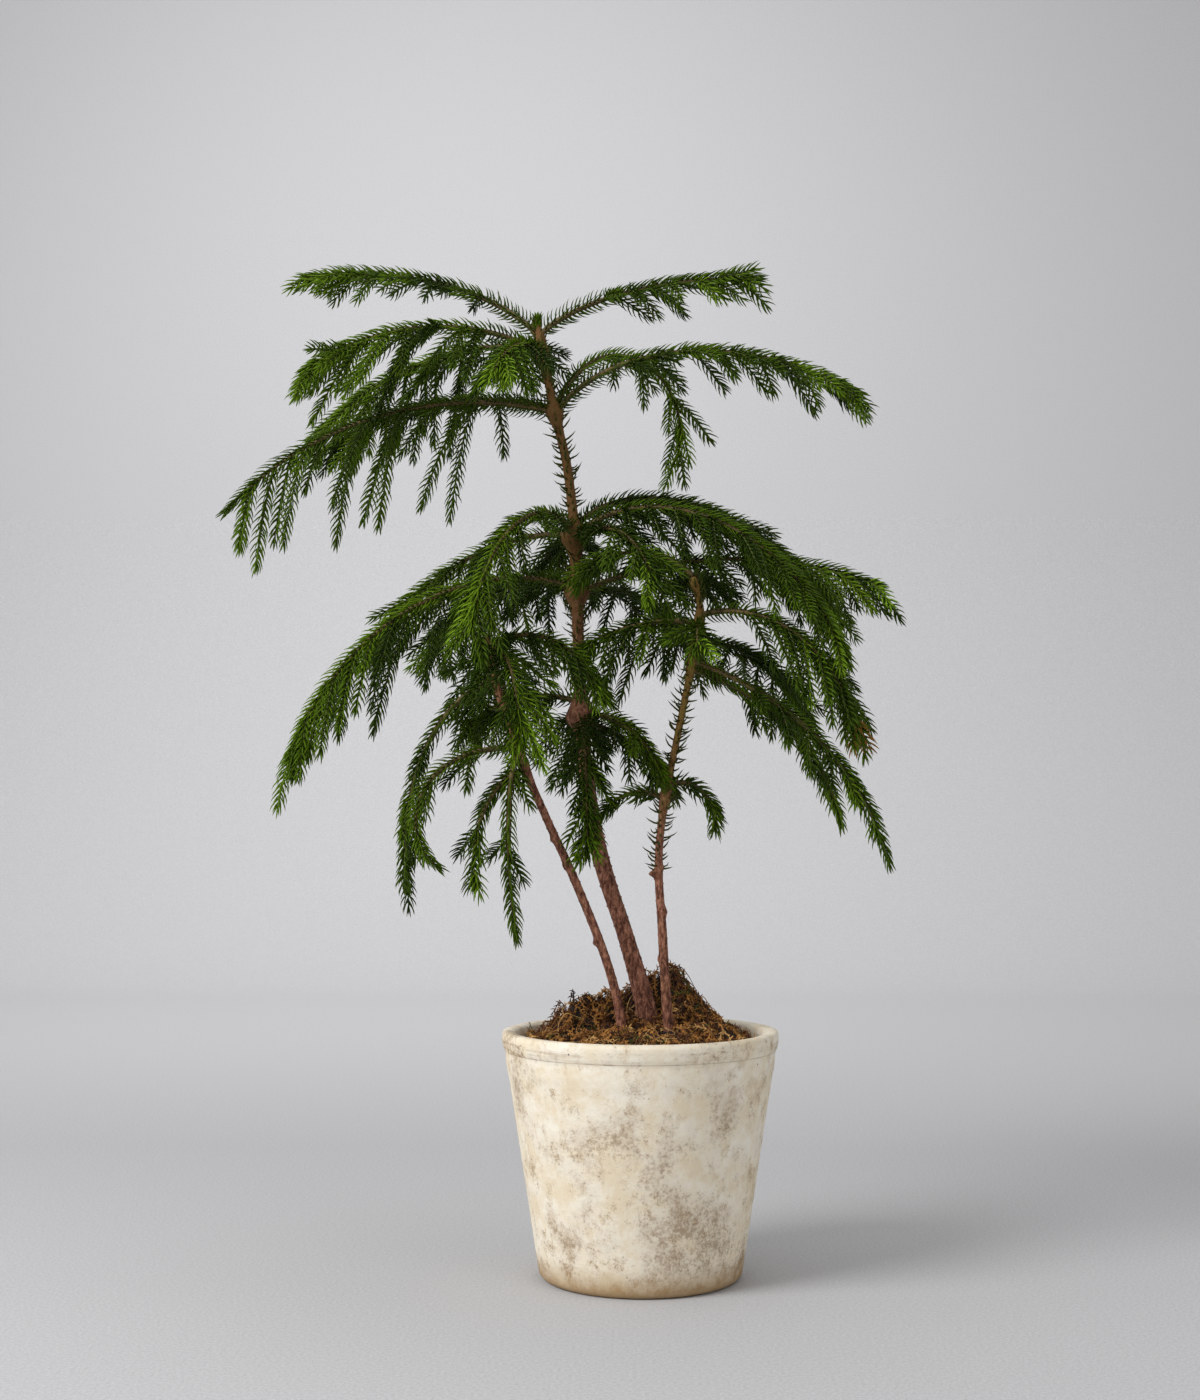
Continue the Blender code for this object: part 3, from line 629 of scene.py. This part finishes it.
# Boughs. "limb" is the bare length, "first" is where the shoots begin, "gap" lies between pairs of shoots,
# "longest" is the longest shoot, at the share "longestAt" of the bough, and "hang" is how much shoots droop
boughColumns = ("stem", "height", "heading", "length", "rise", "fall", "bend", "limb", "first", "gap",
                "longest", "longestAt", "hang")
boughTable = {
    "top_right": ("main", 515, -9, 129, 57, -4, 0.36, 40, 42, 14, 27, 0.50, 0.8),
    "top_left": ("main", 514, 168, 152, 56, -3, 0.52, 40, 42, 14, 26, 0.50, 0.5),
    "top_fore_left": ("main", 505, 206, 146, 26, -38, 0.80, 34, 36, 12, 50, 0.42, 1.3),
    "top_fore": ("main", 503, 250, 74, 16, -50, 0.90, 0, 14, 12, 34, 0.42, 1.0),
    "top_back_left": ("main", 507, 156, 162, 18, -40, 0.80, 34, 36, 14, 50, 0.46, 1.4),
    "top_back": ("main", 505, 105, 92, 34, -20, 0.80, 0, 14, 14, 28, 0.42, 0.7),
    "upper_left": ("main", 472, 186, 200, 13, -49, 1.00, 40, 42, 32, 68, 0.38, 3.4),
    "upper_right": ("main", 470, -13, 186, 74, -32, 0.46, 46, 50, 16, 30, 0.60, 0.8),
    "upper_back_left": ("main", 474, 150, 165, 20, -22, 0.90, 40, 44, 24, 40, 0.42, 1.4),
    "upper_back_right": ("main", 474, 42, 150, 60, -115, 1.40, 30, 50, 30, 28, 0.62, 0.7),
    "middle_fore_right": ("main", 401, -26, 196, 60, -64, 0.50, 0, 22, 14, 46, 0.42, 0.9),
    "middle_back_right": ("main", 406, 25, 200, 77, -52, 0.42, 0, 26, 14, 44, 0.45, 0.8),
    "middle_left": ("main", 403, 168, 136, 16, -51, 0.62, 0, 40, 13, 34, 0.60, 1.1),
    "middle_fore_left": ("main", 404, 241, 138, 46, -76, 0.60, 0, 30, 16, 34, 0.60, 0.8),
    "middle_back": ("main", 398, 98, 120, 30, -40, 0.90, 0, 14, 14, 40, 0.42, 1.2),
    "middle_fore": ("main", 398, 300, 104, 30, -60, 0.80, 0, 20, 15, 32, 0.50, 0.9),
    "lower_left": ("main", 373, 197, 205, 26, -70, 0.69, 30, 32, 15, 52, 0.44, 1.9),
    "lower_right": ("main", 371, -6, 172, 25, -22, 0.93, 28, 36, 14, 40, 0.50, 0.9),
    "lower_back_left": ("main", 375, 132, 150, 24, -46, 0.90, 0, 16, 14, 44, 0.42, 1.2),
    "lower_back_right": ("main", 369, 58, 140, 24, -46, 0.90, 0, 30, 15, 42, 0.42, 1.2),
    "inner_right": ("main", 304, -42, 74, 4, -62, 0.90, 0, 12, 14, 28, 0.36, 1.0),
    "inner_fore": ("main", 303, 276, 92, -10, -88, 0.50, 0, 12, 11, 20, 0.42, 1.2),
    "inner_left": ("main", 310, 178, 66, 24, -40, 0.90, 0, 12, 12, 34, 0.42, 1.0),
    "inner_back": ("main", 302, 96, 96, 12, -48, 0.90, 0, 14, 14, 34, 0.42, 1.2),
    "inner_back_right": ("main", 300, 26, 72, -8, -58, 0.90, 0, 14, 14, 26, 0.36, 1.2),
    "left_crown_left": ("left", 318, 180, 128, 16, -98, 0.38, 0, 12, 34, 26, 0.80, 1.0),
    "left_crown_right": ("left", 336, 342, 70, 40, -62, 0.80, 0, 12, 11, 36, 0.42, 0.9),
    "left_crown_fore": ("left", 334, 290, 88, 24, -84, 0.70, 0, 10, 11, 34, 0.42, 1.0),
    "left_crown_back": ("left", 330, 98, 82, 20, -50, 0.80, 0, 12, 13, 32, 0.42, 1.2),
    "left_spur_left": ("left", 284, 203, 104, -2, -150, 1.60, 0, 16, 34, 28, 0.30, 0.9),
    "left_spur_fore": ("left", 272, 218, 76, 0, -100, 0.60, 0, 14, 28, 24, 0.42, 0.9),
    "left_spur_low": ("left", 282, 254, 106, -20, -116, 0.38, 0, 14, 36, 17, 0.18, 0.8),
    "right_upper_right": ("right", 354, -28, 122, 17, -78, 0.80, 26, 28, 12, 46, 0.36, 1.1),
    "right_upper_left": ("right", 350, 196, 66, 8, -30, 0.90, 0, 12, 13, 34, 0.42, 1.6),
    "right_upper_fore": ("right", 346, 268, 52, 16, -50, 0.90, 0, 12, 16, 22, 0.42, 1.2),
    "right_lower_right": ("right", 330, -29, 160, -19, -74, 1.20, 26, 40, 18, 24, 0.30, 1.2),
    "right_lower_side": ("right", 326, 3, 122, -18, -79, 1.15, 0, 32, 20, 22, 0.30, 1.2),
    "right_lower_back": ("right", 338, 44, 96, 14, -50, 0.90, 0, 14, 13, 38, 0.42, 1.1),
    "right_spur_left": ("right", 256, 172, 42, 50, -60, 0.70, 0, 10, 14, 12, 0.42, 0.6),
    "right_spur_right": ("right", 263, -6, 44, 46, -104, 0.70, 0, 10, 14, 13, 0.42, 0.6),
    "right_crown_left": ("right", 375, 172, 66, 56, -30, 0.70, 0, 14, 14, 28, 0.50, 0.8),
    "right_crown_back": ("right", 370, 84, 64, 40, -24, 0.70, 0, 12, 13, 28, 0.42, 0.8),
}
boughs = {name: dict(zip(boughColumns, row)) for name, row in boughTable.items()}
wood = {
    "rows": 61, "sides": 8, "atStem": 1.7, "atTip": 0.4, "taper": 0.8, "shootRows": 9, "shootSides": 4,
    "shootRoot": 0.6, "shootTip": 0.3, "limbNeedles": 2.1, "limbNeedleLength": (7.4, 9.6),
    "needlesOut": 1.5, "limbLeast": 0.12, "needleRows": 24, "tintPlace": 0.75,
    "colours": ((0.085, 0.058, 0.013), (0.17, 0.115, 0.026), (0.095, 0.066, 0.013), (0.15, 0.125, 0.022)),
    "shootColour": (0.085, 0.110, 0.018), "roughness": 0.7, "specular": 0.5,
}
growth = {
    "gapScale": 1.15, "gapAtTip": 0.5, "lastShoot": 0.98, "leanAtStem": 60.0, "leanAtTip": 34.0,
    "falloff": 0.75, "spread": 0.62, "shortest": 8.0, "within": (0.02, 0.985), "room": 1.5,
    "boughReach": 1.2, "spotDrift": 0.18, "leanDrift": 9.0, "lengthDrift": 0.18, "hangDrift": 0.4,
}
down = np.array((0.0, 0.0, -1.0))


def barkFinish(name, low, high, colours, roughness):
    # old bark below the low height and young bark above the high one, with long streaks and ridges
    finish, nodes, links, surface, place = finishNodes(name, roughness)
    streak = noiseNode(nodes, links, place, *bark["streakNoise"])
    patch = noiseNode(nodes, links, place, *bark["patchNoise"])
    crack = tuple(bark["crack"] * c for c in colours[0])
    oldBark = rampNode(nodes, links, streak, list(zip(bark["oldStops"], (crack, *colours[:2]))))
    youngBark = rampNode(nodes, links, streak, list(zip(bark["youngStops"], colours[2:])))
    patch = mathNode(nodes, links, "SUBTRACT", patch, 0.5)
    patch = mathNode(nodes, links, "MULTIPLY", patch, bark["patchiness"])
    share = mathNode(nodes, links, "ADD", axisBand(nodes, links, place, "Z", low * mm, high * mm), patch)
    links.new(mixNode(nodes, links, share, oldBark, youngBark), surface.inputs["Base Color"])
    bumpNode(nodes, links, surface, streak, bark["bump"], bark["bumpDepth"])
    return finish


def stemRelief(name, run, turn, radius, height):
    # streaks that run up the stem, rows of leaf scars on two crossing spirals, swollen nodes and knots
    rng = np.random.default_rng(len(name))
    relief = np.zeros(np.broadcast(run, turn).shape)
    for _ in range(bark["streaks"]):
        ridges = rng.integers(*bark["ridges"])
        lean = run / rng.uniform(*bark["twist"]) + rng.uniform(0, 6.28)
        relief = relief + np.sin(ridges * turn + lean) / math.sqrt(ridges)
    relief = bark["furrow"] * relief / 2
    one, other = (np.maximum(0, np.cos(ranks * turn + run * climb)) for ranks, climb in bark["scarSpirals"])
    relief = relief + bark["scars"] * (one * other) ** 3
    tiers = sorted({bough["height"] for bough in boughs.values() if bough["stem"] == name})
    for tier in tiers:
        relief = relief + bark["nodeSwell"] * np.exp(-((height - tier) / bark["nodeSpread"]) ** 2)
    radius = radius * (1 + relief)
    for stem, knotHeight, knotTurn, tall in bark["knots"]:
        if stem == name:
            across = np.abs((turn - math.radians(knotTurn) + math.pi) % (2 * math.pi) - math.pi) * radius
            far = (across ** 2 + (height - knotHeight) ** 2) / bark["knotSpread"] ** 2
            radius = radius + tall * np.exp(-far)
    return radius


def makeStem(name):
    # rings carried up the stem's smooth curve, with the bark's relief in their radius and a round tip
    line = evenly(stemLines[name], int((stemLines[name][-1, 2] - stemLines[name][0, 2]) / bark["rowStep"]))
    side, up = framesAlong(line[:, :3], stemHint)[1:]
    turn = ringTurns(bark["around"][name])
    run = np.arange(len(line))[:, None] * bark["rowStep"]
    radius = stemRelief(name, run, turn, line[:, 3:], line[:, 2:3])
    top = np.clip((line[-1, 2] - line[:, 2:3]) / bark["tipRound"], 0, 1)
    radius = radius * np.sqrt(1 - (1 - top) ** 2 * bark["tipBlunt"])
    points = line[:, None, :3] + ringDirections(turn, side, up) * radius[..., None]
    young = bark["needlesFrom"][name]
    colours = (bark["old"], bark["ridge"], bark["rust"], bark["young"][name])
    finish = barkFinish(name + " stem bark", young, young + bark["youngOver"], colours, bark["roughness"])
    triangles = closedGrid(len(line), bark["around"][name])
    piece = putMesh(name + "Stem", points.reshape(-1, 3) * mm, triangles, finish)
    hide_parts("stem_" + name)


for name in stems:
    makeStem(name)
print("stems made")


# Boughs and shoots

def halfway(rows):
    # the middle of each step between that many rows, as shares of the whole
    return (np.arange(rows - 1) + 0.5) / (rows - 1)


def walk(start, steps, length):
    # a line from the start, along equal steps that add up to the length
    return np.vstack([start, start + np.cumsum(steps, axis=0) * length / len(steps)])


def boughLine(bough):
    # the bough's angle to the level eases from rise to fall, and its steps add up to an arch
    share = halfway(wood["rows"])
    angle = np.radians(bough["rise"] + (bough["fall"] - bough["rise"]) * share ** bough["bend"])
    heading = math.radians(bough["heading"])
    level = np.cos(angle)
    steps = np.stack([level * math.cos(heading), level * math.sin(heading), np.sin(angle)], axis=1)
    return walk(stemAt(bough["stem"], bough["height"])[:3], steps, bough["length"])


def shootLine(line, place, side, length, hang, lean):
    # a side shoot leans out from the bough and turns down along its length
    x = place * (len(line) - 1)
    i = min(int(x), len(line) - 2)
    start = line[i] + (line[i + 1] - line[i]) * (x - i)
    forward = unit(line[i + 1] - line[i])
    across = unit(np.cross(forward, -down)) * side
    out = forward * math.cos(lean) + across * math.sin(lean)
    return walk(start, unit(out + down * hang * np.sqrt(halfway(wood["shootRows"]))[:, None]), length)


def shootsOf(bough, line, rng):
    # pairs of shoots, closer together towards the tip, longest at their own share of the bough, and each
    # a bit different
    length = bough["length"]
    place = bough["first"] / length
    found = []
    while place < growth["lastShoot"]:
        spacing = bough["gap"] * growth["gapScale"] * (1 + (growth["gapAtTip"] - 1) * place)
        for side in (-1, 1):
            least, most = growth["within"]
            spot = min(most, max(least, place + rng.normal(0, growth["spotDrift"]) * spacing / length))
            fall = growth["falloff"] * ((place - bough["longestAt"]) / growth["spread"]) ** 2
            reach = bough["longest"] * (1 - fall) * (1 + rng.normal(0, growth["lengthDrift"]))
            lean = growth["leanAtStem"] + (growth["leanAtTip"] - growth["leanAtStem"]) * place
            lean = math.radians(lean + rng.normal(0, growth["leanDrift"]))
            drop = bough["hang"] * (1 + rng.normal(0, growth["hangDrift"]))
            if reach > growth["shortest"]:
                found.append((shootLine(line, spot, side, reach, drop, lean), place))
        place += spacing / length
    return found


def hasRoom(path, taken, owner):
    # a shoot is left out where its line would pass through a stem or another bough
    for other, spots, reach in taken:
        if other == owner:
            continue
        apart = np.linalg.norm(path[2:, None] - spots[None], axis=2)
        if np.any(apart < reach + growth["room"]):
            return False
    return True


boughLines = {name: boughLine(bough) for name, bough in boughs.items()}
taken = [("stem" + name, line[::4, :3], line[::4, 3]) for name, line in stemLines.items()]
taken += [(name, line[4::3], np.full(len(line[4::3]), growth["boughReach"]))
          for name, line in boughLines.items()]
shoots = []
for name, bough in boughs.items():
    for path, place in shootsOf(bough, boughLines[name], draw):
        if hasRoom(path, taken, name):
            shoots.append((name, path, place))
print("shoots grown:", len(shoots))


# Needles on every shoot, bough and stem

leader = {
    "twigs": 9, "lean": 0.35, "under": 5.0, "over": (1.0, 1.7, 2.4), "rows": 6,
    "perMm": 2.2, "length": (4.0, 6.0), "open": (42, 12), "width": 0.8,
}


def tintOf(name, place, rng):
    # fresher towards the tips and the top of the plant, deeper inside the crown
    shades = ("Deep", "Dark", "Mid", "Light", "Fresh")
    fresh = needle["fresherOut"] * place + needle["fresher"].get(name.split("_")[0], 0)
    fresh = fresh + rng.normal(0, needle["tintDrift"])
    return shades[int(np.clip(fresh * needle["tintSteps"], 0, len(shades) - 0.01))]


def levelHint(step):
    # level and square to the step: its cross product with straight down
    return unit(np.cross(step, down) + 1e-9)


def squareTo(bough):
    # level and square to the bough's heading
    heading = math.radians(bough["heading"])
    return np.array((-math.sin(heading), math.cos(heading), 0.0))


def needleShoots(pile):
    # each shoot's needles have one tint, and one bough has a dry tip
    for name, path, place in shoots:
        tint = tintOf(name, place, draw)
        if name == needle["dryBough"] and place > needle["dryFrom"]:
            tint = "Dry"
        pile[tint].append(needlesAlong(path, levelHint(path[1] - path[0]), needle["perMm"],
                                       needle["length"], needle["shootOpen"], needle["width"], draw))


def needleBoughs(pile):
    # a bough has dark, open needles on its limb and fresher ones from there to its tip
    for name, bough in boughs.items():
        line = boughLines[name]
        spot = np.linspace(0, 1, len(line))
        start = (stemAt(bough["stem"], bough["height"])[3] + wood["needlesOut"]) / bough["length"]
        change = max(bough["limb"] / bough["length"], start + wood["limbLeast"])
        parts = ((start, change, wood["limbNeedles"], wood["limbNeedleLength"], needle["limbOpen"],
                  needle["limbWidth"], False, "Dark"),
                 (change, 1.0, needle["boughPerMm"], needle["length"], needle["shootOpen"],
                  needle["width"], True, tintOf(name, wood["tintPlace"], draw)))
        for low, high, perMm, lengths, opening, width, tipped, tint in parts:
            places = np.linspace(low, high, wood["needleRows"])
            path = np.column_stack([np.interp(places, spot, line[:, k]) for k in range(3)])
            pile[tint].append(needlesAlong(path, squareTo(bough), perMm, lengths, opening, width, draw,
                                           tipped, needle["boughRadius"]))


def needleStems(pile):
    # open needles on the young upper part of each stem
    for name, line in stemLines.items():
        upper = line[line[:, 2] > bark["needlesFrom"][name], :3]
        pile["Old"].append(needlesAlong(upper, stemHint, bark["needlesPerMm"][name], bark["needleLength"],
                                        needle["stemOpen"], needle["stemWidth"], draw, True,
                                        needle["stemRadius"], needle["stemWild"]))


def needleLeader(pile):
    # short twigs fan out of the main stem's tip, each a golden angle on from the last
    top = stemLines["main"][-1, :3]
    for k in range(leader["twigs"]):
        turn = k * goldenTurn
        heading = np.array((math.cos(turn) * leader["lean"], math.sin(turn) * leader["lean"], 1.0))
        along = np.linspace(-leader["under"], leader["over"][k % 3], leader["rows"])[:, None]
        pile["Mid"].append(needlesAlong(top + unit(heading) * along, stemHint, leader["perMm"],
                                        leader["length"], leader["open"], leader["width"], draw))


def makeNeedles(tint, groups):
    # a tint's needles, in pieces that each hold a limited number; the middle tint's first piece stands in
    # for the foliage of all boughs
    groups = [np.concatenate([group[k] for group in groups]) for k in range(5)]
    finish = plainFinish(tint.lower() + " needles", needle["tints"][tint], needle["roughness"],
                         needle["specular"])
    most = needle["mostInPiece"]
    for number, first in enumerate(range(0, len(groups[0]), most)):
        points, triangles = needleMesh(*(group[first:first + most] for group in groups))
        piece = putMesh("needles%s%d" % (tint, number + 1), points * mm, triangles, finish)
        if tint == "Mid" and number == 0:
            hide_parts(*["foliage_" + name for name in boughs])
    return len(groups[0])


pile = {tint: [] for tint in needle["tints"]}
for grow in (needleShoots, needleBoughs, needleStems, needleLeader):
    grow(pile)
needlesMade = 0
for tint, groups in pile.items():
    needlesMade += makeNeedles(tint, groups)
print("needles:", needlesMade)


# Wood of the boughs and shoots

def makeWood():
    # tapering tubes along every bough and every shoot
    paths = np.array(list(boughLines.values()))
    hints = np.array([squareTo(bough) for bough in boughs.values()])
    taper = np.linspace(1, 0, wood["rows"]) ** wood["taper"]
    radii = np.tile(wood["atTip"] + (wood["atStem"] - wood["atTip"]) * taper, (len(paths), 1))
    # both heights lie under the pot, so the whole bough is young bark
    finish = barkFinish("bough bark", -1, -2, wood["colours"], wood["roughness"])
    points, triangles = tubes(paths, hints, radii, wood["sides"])
    piece = putMesh("boughWood", points * mm, triangles, finish)
    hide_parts(*["limb_" + name for name, bough in boughs.items() if bough["limb"]])
    paths = np.array([path for _, path, _ in shoots])
    hints = levelHint(paths[:, 1] - paths[:, 0])
    radii = np.tile(np.linspace(wood["shootRoot"], wood["shootTip"], wood["shootRows"]), (len(paths), 1))
    finish = plainFinish("shoot bark", wood["shootColour"], wood["roughness"], wood["specular"])
    points, triangles = tubes(paths, hints, radii, wood["shootSides"])
    putMesh("shootTwigs", points * mm, triangles, finish)


makeWood()
print("wood made")


# Stage, light and camera

stage = {
    "floor": 8.0, "wallAt": 1.6, "bend": 0.8, "bendRows": 24, "wallHeight": 4.0,
    "distance": 1.055, "height": 0.247, "rise": 3.5, "turn": 1.19, "lens": 49.4, "world": 0.5,
    "grey": (0.545, 0.545, 0.555), "roughness": 0.95, "specular": 0.1,
    # painted light and shade on the paper, from front to back: a darker band across the floor just behind
    # the pot, and lighter towards the back and up the wall
    "paintedShadeFrom": -0.3, "paintedShadeTo": 1.7,
    "shades": ((0.0, 1.03), (0.10, 1.03), (0.20, 0.99), (0.35, 0.905), (0.53, 0.965), (0.80, 1.06),
               (1.0, 1.14)),
    "grainNoise": (560, 4, (1, 1, 1), 0.9), "grainStops": (0.40, 0.60), "grainDark": 0.80,
    # place, aim, size and power of each light
    "lights": {
        "keyLight": ((-1.5, -1.0, 1.35), (0, 0, 0.25), 1.05, 37),
        "topLight": ((0.1, 0.3, 2.2), (0, 0, 0.2), 1.4, 8),
        "fillLight": ((1.6, -1.5, 0.9), (0, 0, 0.25), 1.4, 4.5),
        "wallLight": ((-0.37, 0.9, 1.52), (-0.08, 2.5, 0.68), 1.2, 13),
    },
}


def paperFinish():
    # the grey times a painted light and shade for how far back it lies, times a fine grain
    finish, nodes, links, surface, place = finishNodes("pale paper", stage["roughness"])
    far = axisBand(nodes, links, place, "Y", stage["paintedShadeFrom"], stage["paintedShadeTo"])
    stops = [(spot, tuple(c * paintedShade for c in stage["grey"])) for spot, paintedShade in stage["shades"]]
    paintedTone = rampNode(nodes, links, far, stops)
    grain = rampNode(nodes, links, noiseNode(nodes, links, place, *stage["grainNoise"]),
                     list(zip(stage["grainStops"], ((stage["grainDark"],) * 3, (1, 1, 1)))))
    links.new(mixNode(nodes, links, 1.0, paintedTone, grain, "MULTIPLY"), surface.inputs["Base Color"])
    surface.inputs["Specular IOR Level"].default_value = stage["specular"]
    return finish


def makeStage():
    # a floor that curves up into a wall: a straight run, a quarter circle and a straight rise
    turn = np.linspace(0, math.pi / 2, stage["bendRows"])
    bend = stage["bend"]
    curve = np.column_stack([stage["wallAt"] + bend * np.sin(turn), bend * (1 - np.cos(turn))])
    profile = np.vstack([[(-stage["floor"], 0)], curve, [(stage["wallAt"] + bend, stage["wallHeight"])]])
    points = [(x, y, z) for y, z in profile for x in (-stage["floor"], stage["floor"])]
    faces = [(2 * k, 2 * k + 1, 2 * k + 3, 2 * k + 2) for k in range(len(profile) - 1)]
    mesh = bpy.data.meshes.new("paleFloor")
    mesh.from_pydata(points, [], faces)
    mesh.shade_smooth()
    mesh.materials.append(paperFinish())
    addObject("paleFloor", mesh)


def softLight(name, place, aim, size, power):
    # a round area light that faces its aim
    lamp = bpy.data.lights.new(name, "AREA")
    lamp.shape = "DISK"
    lamp.size = size
    lamp.energy = power
    light = addObject(name, lamp)
    light.location = place
    light.rotation_euler = (Vector(aim) - Vector(place)).to_track_quat("-Z", "Y").to_euler()


def makeWorld():
    # even white light from all round
    world = bpy.data.worlds.new("soft studio")
    world.use_nodes = True
    background = world.node_tree.nodes["Background"]
    background.inputs["Color"].default_value = (1, 1, 1, 1)
    background.inputs["Strength"].default_value = stage["world"]
    bpy.context.scene.world = world
    bpy.context.scene.view_settings.view_transform = "Standard"


def makeCamera():
    # it stands in front of the pot, tilted up by the rise and turned a little to the left
    lens = bpy.data.cameras.new("camera")
    lens.lens = stage["lens"]
    camera = addObject("camera", lens)
    camera.location = (0, -stage["distance"], stage["height"])
    camera.rotation_euler = (math.radians(90 + stage["rise"]), 0, math.radians(stage["turn"]))
    bpy.context.scene.camera = camera


makeStage()
for name, light in stage["lights"].items():
    softLight(name, *light)
makeWorld()
makeCamera()
print("stage set")
